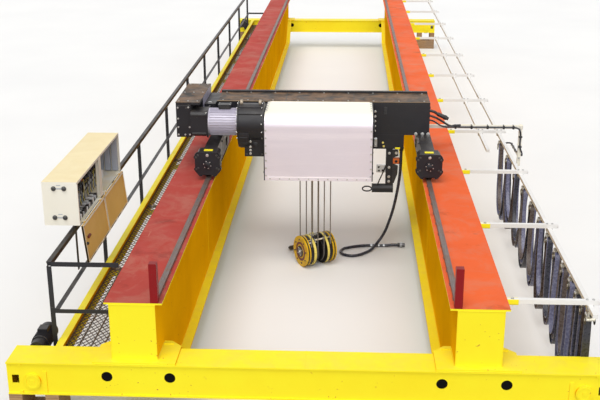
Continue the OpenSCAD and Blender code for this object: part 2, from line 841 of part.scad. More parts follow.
// Eight-sided housing of a driven wheel, with a cover, a boss and four bolt ears
module drive_housing() {
  difference() {
    translate([0, drive_y1, 0]) rotate([90, 0, 0]) linear_extrude(drive_y1 - drive_y0 - 14)
      drive_outline(12);
    block([-pocket_w / 2, trolley_y - wheelbase / 2 - 118, carriage_z0 - 10],
      [pocket_w / 2, drive_y1 + 1, crab_axle_z + crab_wheel_d / 2 + 25]);
  }
  translate([0, drive_y0 + 14, 0]) rotate([90, 0, 0]) linear_extrude(14) difference() {
    drive_outline(0);
    translate([-62, 0]) square([124, carriage_z0 + 22]);
  }
  rod_y(0, drive_y0 - 16, drive_y0, carriage_z0 + drive_h / 2, 96);
  for (x = [-drive_w / 2 + 14, drive_w / 2 - 14], z = [carriage_z0 + 85, carriage_z0 + drive_h - 60])
    rod_y(x, drive_y0 + 4, drive_y0 + 64, z, ear_d);
}

module drive_housings() {
  color("black") mirrored_x() translate([rail_x, 0, 0]) drive_housing();
}

module cross_beam() {
  color("black") block([beam_x0, beam_y0, beam_z0], [beam_x1, beam_y1, beam_z1]);
}

control_side = 410;
control_gap = 135;
control_up = 100;
control_h = 410;
lid_t = 30;
panel_gap = 165;
gland_h = 35;
gland_w = 52;

// Switch box at the motor's end, and the panel that hangs below the beam
module control_box() {
  x0 = beam_x0 - control_side;
  x1 = beam_x0 - control_gap;
  brake_x = motor_x0 - brake_l;
  front = motor_y - brake_w / 4;
  back = motor_y + brake_w / 2 + 40;
  z1 = beam_z1 + control_up;
  z0 = z1 - control_h;
  panel_x = cover_x0 + cover_l + end_t;
  panel_z = beam_z0 - panel_drop;
  color("black") {
    block([x0, back, z0], [x1, beam_y1 - 40, z1]);
    block([x0, front, z0], [brake_x, back, z1]);
    block([brake_x, front, z1 - lid_t], [x1, back, z1]);
    block([x1, beam_y0 - 140, z0 + 10], [beam_x0, beam_y1 - 80, z1 - control_up]);
    block([panel_x, beam_y0, panel_z], [rail_x - carriage_w / 2 - panel_gap, beam_y0 + 220, beam_z0]);
    translate([pendant_route[0][0], pendant_route[0][1], pendant_route[0][2]])
      cylinder(h = panel_z - pendant_route[0][2], d = gland_w);
  }
}

module cover_profile(inset) {
  y0 = cover_y0 + inset;
  z1 = cover_z1 - inset;
  r = cover_r - inset;
  intersection() {
    union() {
      translate([y0, cover_z0]) square([cover_y1 - y0, z1 - r - cover_z0]);
      translate([y0 + r, cover_z0]) square([cover_y1 - y0 - r, z1 - cover_z0]);
      translate([y0 + r, z1 - r]) circle(r = r);
    }
    translate([y0, cover_z0]) square([cover_y1 - y0, z1 - cover_z0]);
  }
}

module drum_cover() {
  color("silver") translate([cover_x0, 0, 0]) rotate([90, 0, 90]) linear_extrude(cover_l)
    difference() {
      cover_profile(0);
      translate([0, -1]) cover_profile(cover_t);
    }
}

module cover_ends() {
  color("black") for (x = [cover_x0 - end_t, cover_x0 + cover_l])
    translate([x, 0, 0]) rotate([90, 0, 90]) linear_extrude(end_t) cover_profile(0);
}

module rope_drum() {
  color("dimgray") rod_x(cover_x0, cover_x0 + cover_l, drum_y, drum_z, drum_d);
}

foot_w = 230;
foot_h = 175;

// Round gear case with bolted flanges, a lower case and two lifting ears
module hoist_gearbox() {
  x = gear_x1 - foot_w;
  low_z = motor_z - gear_d / 2 - foot_h;
  color("black") {
    rod_x(gear_x0, gear_x1, motor_y, motor_z, gear_d);
    for (e = [gear_x0, gear_x1 - 18]) rod_x(e, e + 18, motor_y, motor_z, gear_d + 30);
    rod_x(gear_x0 + 6, x + 60, motor_y, motor_z - 100, gear_d - 30);
    block([x, motor_y - 105, low_z], [gear_x1, motor_y + 105, motor_z]);
    block([gear_x0 + 40, motor_y, motor_z - 120], [gear_x1, beam_y0, motor_z + 120]);
    for (e = [gear_x0 + 30, gear_x1 - 60]) difference() {
      hull() {
        rod_x(e, e + 24, motor_y, motor_z + gear_d / 2 + 12, 64);
        block([e, motor_y - 50, motor_z + gear_d / 2 - 50], [e + 24, motor_y + 50, motor_z + 100]);
      }
      rod_x(e - 1, e + 25, motor_y, motor_z + gear_d / 2 + 14, 30);
    }
  }
}

rib_t = 5;
rib_h = 14;

module hoist_motor() {
  color("silver") {
    rod_x(motor_x0, gear_x0, motor_y, motor_z, motor_d - 2 * rib_h);
    rod_x(motor_x0, motor_x0 + 16, motor_y, motor_z, motor_d);
    rod_x(gear_x0 - 16, gear_x0, motor_y, motor_z, motor_d);
    for (a = [0 : 360 / ribs : 359]) translate([0, motor_y, motor_z]) rotate([a, 0, 0])
      block([motor_x0 + 10, -rib_t / 2, motor_d / 2 - rib_h - 6],
        [gear_x0 - 10, rib_t / 2, motor_d / 2 - 1]);
  }
}

module rounded_square(w, r) {
  square([w - 2 * r, w], center = true);
  square([w, w - 2 * r], center = true);
  for (x = [-1, 1], y = [-1, 1]) translate([x * (w / 2 - r), y * (w / 2 - r)]) circle(r = r);
}

module brake_cover() {
  lip = 14;
  color("black") translate([motor_x0, motor_y, motor_z]) rotate([0, -90, 0]) {
    linear_extrude(lip) rounded_square(brake_w, 50);
    linear_extrude(brake_l) rounded_square(brake_w - 2 * lip, 50);
  }
}

guide_w = 80;
guide_in = 174;
guide_drop = 516;
damper_d = 110;
damper_l = 260;
eye_w = 126;
eye_h = 76;
eye_t = 14;

// Overload lever below the panel: post, weight, limit switch and pull eye
module rope_guide() {
  x = cover_x0 + cover_l + end_t + guide_in;
  y = beam_y0 + 50;
  z = beam_z0 - panel_drop;
  low = z - guide_drop;
  left = x + guide_w + 16 - damper_l;
  color("black") {
    block([x, y - 30, low], [x + guide_w, y + 30, z]);
    rod_x(left, left + damper_l, y, low, damper_d);
    block([x + guide_w - 1, y - 25, z - 199], [x + guide_w + 85, y + 25, z - 125]);
    block([x - 110, y - 10, z - 312], [x + 1, y + 10, z - 217]);
    translate([left - eye_w / 2 + 4, y + eye_t / 2, low - 12]) rotate([90, 0, 0])
      linear_extrude(eye_t) difference() {
        scale([1, eye_h / eye_w]) circle(d = eye_w);
        scale([1, (eye_h - 2 * eye_t) / (eye_w - 2 * eye_t)]) circle(d = eye_w - 2 * eye_t);
      }
  }
}

rod_d = 16;

// Arm from the back of the cross beam, past the cable arms and on to the tow carrier
module tow_arm() {
  w = tow_w / 2;
  y = beam_y1 + w;
  color("cornsilk") {
    block([rail_x - 100, y - w, tow_z], [tow_x + tow_w, y + w, tow_z + tow_w]);
    block([tow_x, y - w, tow_foot], [tow_x + tow_w, y + w, tow_z]);
    rod_y(tow_x + w, y, tow_y + rod_d / 2, neck_z - 30, rod_d);
    rod_x(crail_x + carrier_w / 2 + air_gap, tow_x + w, tow_y, neck_z - 30, rod_d);
  }
}

module block_frame(z = block_z) {
  translate([rope_x, rope_y, z]) rotate([0, 0, block_yaw]) children();
}

module upper_sheaves() {
  w = 2 * rope_pitch;
  color("dimgray") {
    block_frame(sheave_z) {
      for (x = [-1.5, -0.5, 0.5, 1.5])
        rod_x(x * rope_pitch - 20, x * rope_pitch + 20, 0, 0, 2 * rope_reach - rope_d - 2 * run_gap);
      rod_x(-w - 20, w + 20, 0, 0, 60);
      for (x = [-w - 20, w]) block([x, -50, -40], [x + 20, 50, 120]);
    }
    block([cover_x0, rope_y - 150, sheave_z + 95], [cover_x0 + cover_l, rope_y + 150, sheave_z + 120]);
  }
}

sheave_at = [-1.5, -0.5, 0.5, 1.5];

module at_ropes() {
  for (x = sheave_at, y = [-1, 1]) translate([x * rope_pitch, y * rope_reach, 0]) children();
}

// Ropes that run down to the block's sheaves and round under them
module hoist_ropes() {
  color("gray") block_frame() {
    at_ropes() cylinder(h = rope_top - block_z, d = rope_d, $fn = 12);
    for (x = sheave_at) translate([x * rope_pitch, 0, 0]) rotate([0, 90, 0])
      rotate([0, 0, -90]) rotate_extrude(angle = 180, $fn = 48)
        translate([rope_reach, 0]) circle(d = rope_d, $fn = 12);
  }
}

sheave_r = rope_reach - rope_d / 2 - run_gap;
sheave_rim = sheave_r + 15;
tie_d = 20;
tie_r = sheave_rim + 4 + tie_d / 2;

module ties(x0, x1, angles) {
  for (a = angles) rod_x(x0, x1, tie_r * cos(a), tie_r * sin(a), tie_d);
}

// Guard plates beside the sheaves, with the tie rods that join them
module block_drums() {
  guard = [rope_pitch - guard_t / 2, rope_pitch + guard_t / 2];
  color("gold") block_frame() difference() {
    union() {
      mirrored_x() {
        rod_x(guard[0], guard[1], 0, 0, block_d);
        rod_x(block_l / 2 - cover_w, block_l / 2, 0, 0, block_d);
        ties(guard[1] - 1, block_l / 2 - cover_w + 1, [60, 120, 240, 300]);
      }
      ties(-guard[0] - 1, guard[0] + 1, [60, 120]);
    }
    rod_x(-block_l, block_l, 0, 0, block_axle_d);
  }
}

block_axle_d = 90;
guard_t = 38;
cover_w = 49;
sheave_w = 36;

module sheave() {
  w = sheave_w / 2;
  rotate([0, 90, 0]) rotate_extrude($fn = 32) polygon([[block_axle_d / 2 + run_gap, -w],
    [sheave_rim, -w], [sheave_rim, -w + 7], [sheave_r, -rope_d / 2], [sheave_r, rope_d / 2],
    [sheave_rim, w - 7], [sheave_rim, w], [block_axle_d / 2 + run_gap, w]]);
}

module block_sheaves() {
  color("dimgray") block_frame() for (x = sheave_at) translate([x * rope_pitch, 0, 0]) sheave();
}

module block_axle() {
  color("dimgray") block_frame() {
    rod_x(-block_l / 2 - 12, block_l / 2 + 12, 0, 0, block_axle_d);
    mirrored_x() rod_x(block_l / 2, block_l / 2 + 8, 0, 0, block_axle_d + 50);
  }
}

strap_t = 36;
cross_w = 92;

// Strap on the block's axle that ends in the crosshead
module hook_yoke() {
  color("dimgray") block_frame() rotate([-hook_droop, 0, 0]) difference() {
    union() {
      hull() {
        rod_x(-strap_t / 2, strap_t / 2, 0, 0, 140);
        rod_x(-strap_t / 2, strap_t / 2, yoke_pin, 0, 100);
      }
      block([-cross_w / 2, yoke_pin - 45, -45], [cross_w / 2, yoke_pin + 45, 45]);
    }
    rod_x(-strap_t, strap_t, 0, 0, block_axle_d + 2 * run_gap);
    rod_y(0, yoke_pin - 45, yoke_pin + 50, 0, shank_d + 2 * run_gap);
  }
}

function unit(v) = v / norm(v);

// Ring of n points round p, square to direction d, rx wide along side s and ry along z
function ring(p, d, rx, ry, n) = let (s = unit(cross(d, [0, 0, 1])))
  [for (k = [0 : n - 1]) p + rx * cos(360 * k / n) * s + [0, 0, ry * sin(360 * k / n)]];

// Solid through a list of rings with the same number of points
module through(rings) {
  n = len(rings[0]);
  m = len(rings);
  side = [for (i = [0 : m - 2], k = [0 : n - 1]) let (a = i * n, b = (k + 1) % n)
    [a + k, a + b, a + n + b, a + n + k]];
  polyhedron(points = [for (r = rings, p = r) p],
    faces = concat([[for (k = [n - 1 : -1 : 0]) k]], side, [[for (k = [0 : n - 1]) (m - 1) * n + k]]));
}

bill_r = 75;
bill_y = yoke_pin + 205 + bill_r;
// The hook's centre line: shank, bend, then round the bowl to the point
bill_bend = [[0, bill_y - 2 * bill_r], [0, bill_y - sqrt(2) * bill_r],
  [-bill_r * sqrt(0.5), bill_y - bill_r * sqrt(0.5)]];
function bend_at(t) = (1 - t) * (1 - t) * bill_bend[0] + 2 * t * (1 - t) * bill_bend[1]
  + t * t * bill_bend[2];
function bend_to(t) = (1 - t) * (bill_bend[1] - bill_bend[0]) + t * (bill_bend[2] - bill_bend[1]);
function flat(v) = [v[0], v[1], 0];
// Half width of the hook's section from the neck (0) to the point (1)
function bill_w(t) = 25 + 13 * sin(180 * min(1, t * 1.25)) - 15 * t * t;
hook_rings = concat(
  [ring([0, yoke_pin - 44, 0], [0, 1, 0], shank_d / 2, shank_d / 2, 20)],
  [for (t = [0 : 0.25 : 0.75]) ring(flat(bend_at(t)), unit(flat(bend_to(t))),
    shank_d / 2, shank_d / 2, 20)],
  [for (t = [0 : 1 / 16 : 1]) let (a = -135 - 250 * t)
    ring([bill_r * cos(a), bill_y + bill_r * sin(a), 0], [sin(a), -cos(a), 0],
      bill_w(t), 25 - 13 * t, 20)]
);

module hook() {
  color("dimgray") block_frame() rotate([-hook_droop, 0, 0]) through(hook_rings);
}

// Point between b and c on the smooth curve through a, b, c and d
function between(a, b, c, d, t) = 0.5 * (2 * b + (c - a) * t + (2 * a - 5 * b + 4 * c - d) * t * t
  + (3 * b - a - 3 * c + d) * t * t * t);
function smooth(p, k) = [for (i = [0 : len(p) - 2], j = [0 : k - 1])
  between(p[max(i - 1, 0)], p[i], p[i + 1], p[min(i + 2, len(p) - 1)], j / k), p[len(p) - 1]];
function headings(p) = [for (i = [0 : len(p) - 1])
  unit(p[min(i + 1, len(p) - 1)] - p[max(i - 1, 0)])];
// Side vectors carried along the headings t without twist
function carried(t, s, i = 0) = i == len(t) ? [] :
  let (u = unit(s - (s * t[i]) * t[i])) concat([u], carried(t, u, i + 1));

// Round cable of diameter d along a route
module cable(route, d, k) {
  p = smooth(route, k);
  t = headings(p);
  s = carried(t, [0, 1, 0]);
  n = 10;
  through([for (i = [0 : len(p) - 1]) [for (a = [0 : 360 / n : 359])
    p[i] + d / 2 * (cos(a) * s[i] + sin(a) * cross(s[i], t[i]))]]);
}

module tow_cable() {
  color("black") cable(tow_route, tow_cable_d, 2);
}

module pendant_cable() {
  color("black") cable(pendant_route, pendant_d, 2);
}

plug_l = 90;

module pendant_plug() {
  end = pendant_route[len(pendant_route) - 1];
  color("dimgray") {
    rod_x(end[0], end[0] + plug_l, end[1], end[2], 50);
    rod_x(end[0] + 30, end[0] + 58, end[1], end[2], 58);
  }
}

girder_left();
girder_right();
top_flanges();
trolley_rails();
rail_end_stops();
end_trucks();
truck_seats();
travel_wheels();
travel_drives();
packing_timbers();
walkway_beam();
walkway_brackets();
walkway_grating();
handrail_posts();
handrail_rails();
cabinet_case();
cabinet_fittings();
cabinet_brackets();
cabinet_door_near();
cabinet_door_far();
festoon_stubs();
festoon_arms();
festoon_rails();
festoon_end_clamp();
trolley_carriages();
trolley_wheels();
drive_housings();
cross_beam();
control_box();
drum_cover();
cover_ends();
rope_drum();
upper_sheaves();
hoist_gearbox();
hoist_motor();
brake_cover();
rope_guide();
tow_arm();
hoist_ropes();
block_drums();
block_sheaves();
block_axle();
hook_yoke();
hook();
festoon_cables();
tow_carrier();
festoon_carrier_1();
festoon_carrier_2();
festoon_carrier_3();
festoon_carrier_4();
festoon_carrier_5();
festoon_carrier_6();
festoon_carrier_7();
festoon_carrier_8();
festoon_carrier_9();
festoon_carrier_10();
festoon_carrier_11();
tow_cable();
pendant_cable();
pendant_plug();
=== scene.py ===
import json
import math
import random

import bmesh
import bpy
from mathutils import Matrix, Vector, noise


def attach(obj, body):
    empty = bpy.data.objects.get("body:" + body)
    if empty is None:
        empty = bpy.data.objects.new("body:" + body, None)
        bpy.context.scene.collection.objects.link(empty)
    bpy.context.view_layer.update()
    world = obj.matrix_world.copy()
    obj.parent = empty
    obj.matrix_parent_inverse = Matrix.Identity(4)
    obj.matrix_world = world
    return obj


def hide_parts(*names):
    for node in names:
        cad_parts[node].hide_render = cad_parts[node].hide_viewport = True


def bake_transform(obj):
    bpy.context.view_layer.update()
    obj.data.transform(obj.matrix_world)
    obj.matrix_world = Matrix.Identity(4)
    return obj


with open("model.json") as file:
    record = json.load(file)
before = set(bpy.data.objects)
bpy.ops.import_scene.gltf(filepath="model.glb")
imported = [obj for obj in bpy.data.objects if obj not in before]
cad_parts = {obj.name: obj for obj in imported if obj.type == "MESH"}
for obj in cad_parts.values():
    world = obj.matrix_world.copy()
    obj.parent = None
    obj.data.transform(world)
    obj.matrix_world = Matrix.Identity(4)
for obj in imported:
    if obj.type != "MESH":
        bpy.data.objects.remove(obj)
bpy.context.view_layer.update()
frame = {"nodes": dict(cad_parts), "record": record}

NODES = frame["nodes"]
SLOT_OF = {p["node"]: p["material_slot"] for p in frame["record"]["subparts"]}

# sizes, as in the CAD source, in metres
DECK = 1.250
RAIL_TOP = 1.280
RAIL_X = 1.250
END = 9.340
HALF = 9.410
TRUCK_Y = 9.250
TRUCK_Z0, TRUCK_Z1 = 0.410, 0.710
WEB_IN, WEB_OUT = 1.246, 1.634
FLANGE_X0, FLANGE_X1 = 1.185, 1.675
BOX_Z0 = 0.260
BOX_MID = 1.440
CHANNEL_X = -2.190
TROLLEY_Y = -5.375
BEAM_Y0, BEAM_Y1 = -5.090, -4.560
BEAM_Z0, BEAM_Z1 = 1.550, 1.950
CRAIL_X, CRAIL_Z = 2.370, 1.159
COVER_X0, COVER_X1 = -0.626, 0.614


# camera, floor and light
def make_camera():
    cam = bpy.data.objects.new("camera", bpy.data.cameras.new("camera"))
    bpy.context.scene.collection.objects.link(cam)
    cam.data.sensor_width = 36.0
    cam.data.lens = 60.0
    cam.data.clip_start, cam.data.clip_end = 0.1, 400.0
    cam.location = (0.327, -16.802, 4.750)
    cam.rotation_euler = (math.radians(70.96), 0.0025, math.radians(2.77))
    bpy.context.scene.camera = cam


def looked_at(tree):
    """1 for what the camera sees, straight or in metal and glass, and 0 for light on the crane."""
    path = tree.nodes.new("ShaderNodeLightPath")
    total = path.outputs["Is Camera Ray"]
    for kind in ("Is Glossy Ray", "Is Transmission Ray"):
        either = tree.nodes.new("ShaderNodeMath")
        either.operation = "MAXIMUM"
        tree.links.new(total, either.inputs[0])
        tree.links.new(path.outputs[kind], either.inputs[1])
        total = either.outputs[0]
    return total


def make_light():
    scene = bpy.context.scene
    scene.view_settings.view_transform = "Standard"
    world = bpy.data.worlds.new("studio")
    scene.world = world
    world.use_nodes = True
    t = world.node_tree
    t.nodes.clear()
    out = t.nodes.new("ShaderNodeOutputWorld")
    seen, lit = t.nodes.new("ShaderNodeBackground"), t.nodes.new("ShaderNodeBackground")
    seen.inputs["Color"].default_value = (1, 1, 1, 1)
    seen.inputs["Strength"].default_value = 1.0
    lit.inputs["Color"].default_value = (0.96, 0.97, 1.0, 1)
    at = t.nodes.new("ShaderNodeTexCoord")
    split = t.nodes.new("ShaderNodeSeparateXYZ")
    fade = t.nodes.new("ShaderNodeMapRange")
    t.links.new(at.outputs["Generated"], split.inputs[0])
    t.links.new(split.outputs["Z"], fade.inputs["Value"])
    for socket, value in (("From Min", 0.0), ("From Max", 0.9), ("To Min", 0.34), ("To Max", 0.72)):
        fade.inputs[socket].default_value = value
    t.links.new(fade.outputs[0], lit.inputs["Strength"])
    mixed = t.nodes.new("ShaderNodeMixShader")
    t.links.new(looked_at(t), mixed.inputs[0])
    t.links.new(lit.outputs[0], mixed.inputs[1])
    t.links.new(seen.outputs[0], mixed.inputs[2])
    t.links.new(mixed.outputs[0], out.inputs["Surface"])
    for name, strength, angle, tilt, turn, colour in (
        ("key", 1.24, 30, 24, -24, (1.0, 0.98, 0.94)),
        ("front", 1.44, 45, 58, 8, (1.0, 0.985, 0.96)),
    ):
        sun = bpy.data.lights.new(name, "SUN")
        sun.energy, sun.angle, sun.color = strength, math.radians(angle), colour
        o = bpy.data.objects.new(name, sun)
        o.rotation_euler = (math.radians(tilt), 0, math.radians(turn))
        scene.collection.objects.link(o)


# materials
YELLOW, YELLOW_DARK = (0.93, 0.82, 0.022), (0.92, 0.74, 0.016)


class Paint:
    """One node material. Colours are linear, and lengths in metres."""

    def __init__(self, name):
        self.m = bpy.data.materials.new(name)
        self.m.use_nodes = True
        self.t = self.m.node_tree
        self.t.nodes.clear()
        self.out = self.t.nodes.new("ShaderNodeOutputMaterial")
        self.b = self.t.nodes.new("ShaderNodeBsdfPrincipled")
        self.link(self.b.outputs[0], self.out.inputs["Surface"])
        self.co = self.t.nodes.new("ShaderNodeTexCoord").outputs["Object"]
        self.heights = []

    def link(self, a, b):
        self.t.links.new(a, b)

    def put(self, socket, value):
        if isinstance(value, bpy.types.NodeSocket):
            self.link(value, socket)
        elif isinstance(value, (tuple, list)) and len(value) == 3 and socket.type == "RGBA":
            socket.default_value = (*value, 1)
        else:
            socket.default_value = value

    def stretch(self, scale, turn=(0, 0, 0)):
        n = self.t.nodes.new("ShaderNodeMapping")
        n.inputs["Scale"].default_value = scale
        n.inputs["Rotation"].default_value = turn
        self.link(self.co, n.inputs["Vector"])
        return n.outputs[0]

    def noise(self, scale, detail=4.0, rough=0.55, at=None, warp=0.0):
        n = self.t.nodes.new("ShaderNodeTexNoise")
        n.inputs["Scale"].default_value = scale
        n.inputs["Detail"].default_value = detail
        n.inputs["Roughness"].default_value = rough
        n.inputs["Distortion"].default_value = warp
        self.link(at or self.co, n.inputs["Vector"])
        return n.outputs["Fac"]

    def cells(self, scale, feature="F1", at=None):
        n = self.t.nodes.new("ShaderNodeTexVoronoi")
        n.feature = feature
        n.inputs["Scale"].default_value = scale
        self.link(at or self.co, n.inputs["Vector"])
        return n.outputs["Distance"]

    def waves(self, scale, direction="X", warp=0.0, at=None, detail=2.0):
        n = self.t.nodes.new("ShaderNodeTexWave")
        n.bands_direction = direction
        n.inputs["Scale"].default_value = scale
        n.inputs["Distortion"].default_value = warp
        n.inputs["Detail"].default_value = detail
        self.link(at or self.co, n.inputs["Vector"])
        return n.outputs["Fac"]

    def ramp(self, fac, a, b, lo=0.0, hi=1.0):
        n = self.t.nodes.new("ShaderNodeMapRange")
        n.inputs["From Min"].default_value, n.inputs["From Max"].default_value = a, b
        n.inputs["To Min"].default_value, n.inputs["To Max"].default_value = lo, hi
        self.link(fac, n.inputs["Value"])
        return n.outputs[0]

    def mix(self, fac, a, b, mode="MIX"):
        n = self.t.nodes.new("ShaderNodeMix")
        n.data_type, n.blend_type = "RGBA", mode
        self.put(n.inputs[0], fac)
        self.put(n.inputs[6], a)
        self.put(n.inputs[7], b)
        return n.outputs[2]

    def math(self, op, a, b=0.0):
        n = self.t.nodes.new("ShaderNodeMath")
        n.operation = op
        self.put(n.inputs[0], a)
        self.put(n.inputs[1], b)
        return n.outputs[0]

    def up(self):
        """1 on faces that look up, 0 on walls and undersides."""
        g = self.t.nodes.new("ShaderNodeNewGeometry")
        s = self.t.nodes.new("ShaderNodeSeparateXYZ")
        self.link(g.outputs["Normal"], s.inputs[0])
        return self.ramp(s.outputs["Z"], 0.5, 0.95)

    def facing(self, which, lo=0.55, hi=0.9):
        """1 on faces that look along one axis, either way."""
        g = self.t.nodes.new("ShaderNodeNewGeometry")
        s = self.t.nodes.new("ShaderNodeSeparateXYZ")
        self.link(g.outputs["Normal"], s.inputs[0])
        return self.ramp(self.math("ABSOLUTE", s.outputs[which]), lo, hi)

    def axis(self, which):
        s = self.t.nodes.new("ShaderNodeSeparateXYZ")
        self.link(self.co, s.inputs[0])
        return s.outputs[which]

    def bump(self, height, strength, distance):
        n = self.t.nodes.new("ShaderNodeBump")
        n.inputs["Strength"].default_value = strength
        n.inputs["Distance"].default_value = distance
        self.link(height, n.inputs["Height"])
        if self.heights:
            self.link(self.heights[-1], n.inputs["Normal"])
        self.heights.append(n.outputs[0])

    def done(self, colour, rough, metallic=0.0, **more):
        self.put(self.b.inputs["Base Color"], colour)
        self.put(self.b.inputs["Roughness"], rough)
        self.b.inputs["Metallic"].default_value = metallic
        for k, v in more.items():
            self.b.inputs[k.replace("_", " ")].default_value = v
        if self.heights:
            self.link(self.heights[-1], self.b.inputs["Normal"])
        return self.m


def painted(name, colour, dark, dust, rough=0.38, dust_amount=0.5, chips=None, coat=0.0, fine=260, shaded_sides=None,
            gloss=0.5):
    """Sprayed paint with uneven film, dust on what looks up, rubbed patches and a few chips, and painted shade: a
    darker, more orange colour on faces that look along X.
    """
    p = Paint(name)
    film = p.noise(1.1, 5, 0.6)
    c = p.mix(p.ramp(film, 0.35, 0.75), colour, dark)
    grime = p.noise(5.5, 6, 0.68, warp=0.6)
    settle = p.math("MULTIPLY", p.up(), p.ramp(grime, 0.38, 0.72, 0.0, dust_amount))
    c = p.mix(settle, c, dust)
    runs = p.noise(1.0, 4, 0.6, at=p.stretch((14, 14, 1.2)))
    c = p.mix(p.ramp(runs, 0.62, 0.8, 0.0, 0.22), c, dark)
    # painted shade: faces that look along X take the darker, more orange colour pair and lose their specular
    if shaded_sides:
        c = p.mix(p.facing(0), c, p.mix(p.ramp(p.noise(1.1, 5, 0.6), 0.4, 0.7), *shaded_sides))
        gloss = p.ramp(p.facing(0), 0, 1, gloss, 0.0)
    if chips:
        spots = p.noise(34, 3, 0.5)
        where = p.noise(2.3, 3, 0.6)
        chip = p.math("MULTIPLY", p.ramp(spots, 0.69, 0.72), p.ramp(where, 0.5, 0.62))
        c = p.mix(chip, c, chips)
        p.bump(chip, 0.35, -0.0006)
    p.bump(p.noise(fine, 2, 0.5), 0.10, 0.0006)
    p.bump(p.noise(9, 3, 0.5), 0.10, 0.004)
    r = p.ramp(p.noise(7, 5, 0.6), 0.3, 0.75, rough - 0.07, rough + 0.16)
    p.put(p.b.inputs["Specular IOR Level"], gloss)
    return p.done(c, r, Coat_Weight=coat, Coat_Roughness=0.2)


def bare_metal(name, colour, dark, rough=0.4, grain=(1, 60, 60), metallic=0.85, bloom=None, bloom_at=0.55):
    """Rolled or machined steel with a drawn grain and, where asked, brown bloom."""
    p = Paint(name)
    grainy = p.noise(6, 5, 0.65, at=p.stretch(grain))
    c = p.mix(p.ramp(grainy, 0.3, 0.7), colour, dark)
    r = p.ramp(grainy, 0.3, 0.7, rough - 0.08, rough + 0.12)
    if bloom:
        rust = p.noise(8, 7, 0.72, warp=0.4)
        c = p.mix(p.ramp(rust, bloom_at - 0.12, bloom_at + 0.12, 0, 0.85), c, bloom)
        p.bump(rust, 0.2, 0.001)
    p.bump(grainy, 0.12, 0.0004)
    return p.done(c, r, metallic)


def red_primer():
    """Matt red primer: pale dust, boot scuffs and darker, oily patches; the cable side is painted brighter and more
    orange, a painted highlight where that flange is lit more strongly.
    """
    p = Paint("red_primer")
    # painted highlight: the colour runs from dull dark red at -X to bright orange-red at +X
    side = p.ramp(p.axis(0), -1.0, 1.0)
    c = p.mix(side, (0.44, 0.060, 0.045), (0.80, 0.135, 0.036))
    c = p.mix(p.ramp(p.noise(0.8, 5, 0.6), 0.35, 0.7, 0, 0.5), c, p.mix(side, (0.30, 0.050, 0.040), (0.62, 0.09, 0.030)))
    dust = p.math("MULTIPLY", p.up(), p.ramp(p.noise(2.4, 7, 0.7, warp=0.8), 0.48, 0.8, 0, 0.42))
    c = p.mix(dust, c, (0.46, 0.30, 0.22))
    oil = p.ramp(p.noise(1.7, 5, 0.65, at=p.stretch((1, 1, 1), (0, 0, 0.7))), 0.60, 0.72, 0, 0.5)
    c = p.mix(oil, c, (0.10, 0.022, 0.018))
    scuff = p.ramp(p.noise(12, 4, 0.6, at=p.stretch((1, 0.14, 1), (0, 0, 0.25))), 0.66, 0.72, 0, 0.5)
    c = p.mix(scuff, c, (0.50, 0.22, 0.16))
    c = p.mix(p.up(), YELLOW, c)
    p.bump(p.noise(190, 2, 0.5), 0.16, 0.0006)
    return p.done(c, p.ramp(p.noise(3, 4, 0.6), 0.3, 0.7, 0.52, 0.78), Specular_IOR_Level=0.12)


def timber():
    p = Paint("timber")
    grain = p.noise(3.2, 6, 0.7, at=p.stretch((2, 22, 22)), warp=1.1)
    rings = p.waves(6.0, "Z", 6.0, at=p.stretch((0.25, 1, 2.2)), detail=3)
    c = p.mix(p.ramp(grain, 0.3, 0.72), (0.47, 0.29, 0.14), (0.24, 0.135, 0.062))
    c = p.mix(p.ramp(rings, 0.55, 0.95, 0, 0.45), c, (0.18, 0.095, 0.042))
    c = p.mix(p.ramp(p.noise(2, 6, 0.7), 0.5, 0.75, 0, 0.6), c, (0.22, 0.19, 0.16))
    p.bump(grain, 0.35, 0.002)
    p.bump(rings, 0.2, 0.001)
    return p.done(c, p.ramp(grain, 0.3, 0.7, 0.62, 0.86))


def brushed(name, colour, dark, along=(0.6, 40, 40), rough=0.3, metallic=0.9, painted_reflection_bands=None, top=None):
    """Brushed sheet metal, its grain along X; broad soft darker bands are a painted reflection, and the top colour is a
    painted highlight on what looks up.
    """
    p = Paint(name)
    lines = p.noise(14, 6, 0.75, at=p.stretch(along))
    c = p.mix(p.ramp(lines, 0.25, 0.75, 0, 0.7), colour, dark)
    # painted reflection: broad soft darker bands across the sheet, standing for streaky reflections
    if painted_reflection_bands:
        c = p.mix(p.ramp(p.noise(1.0, 3, 0.5, at=p.stretch(painted_reflection_bands)), 0.45, 0.62, 0.5, 0), c, dark)
    haze = p.noise(2.2, 4, 0.6)
    c = p.mix(p.ramp(haze, 0.4, 0.8, 0, 0.35), c, dark)
    # painted highlight: faces that look up take the warm top colour
    if top:
        c = p.mix(p.up(), c, top)
    p.bump(lines, 0.16, 0.0005)
    r = p.ramp(lines, 0.25, 0.75, rough - 0.06, rough + 0.14)
    return p.done(c, r, metallic)


def rubbery(name, colour, light, rough=0.45, metallic=0.0, gloss=0.5):
    p = Paint(name)
    n = p.noise(40, 4, 0.6)
    c = p.mix(p.ramp(n, 0.35, 0.7), colour, light)
    p.bump(p.noise(420, 2, 0.5), 0.12, 0.0004)
    p.bump(p.noise(22, 3, 0.5), 0.18, 0.0015)
    return p.done(c, p.ramp(n, 0.3, 0.7, rough - 0.08, rough + 0.12), metallic, Specular_IOR_Level=gloss)


def floor_material():
    """Pale to the eye and in what shines, and less of a lamp for the walls above it."""
    p = Paint("floor")
    n = p.noise(0.35, 4, 0.5)
    c = p.mix(p.ramp(n, 0.3, 0.7), (0.84, 0.84, 0.83), (0.80, 0.80, 0.795))
    c = p.mix(looked_at(p.t), (0.40, 0.385, 0.36), c)
    p.bump(p.noise(60, 3, 0.5), 0.05, 0.001)
    return p.done(c, 0.75)


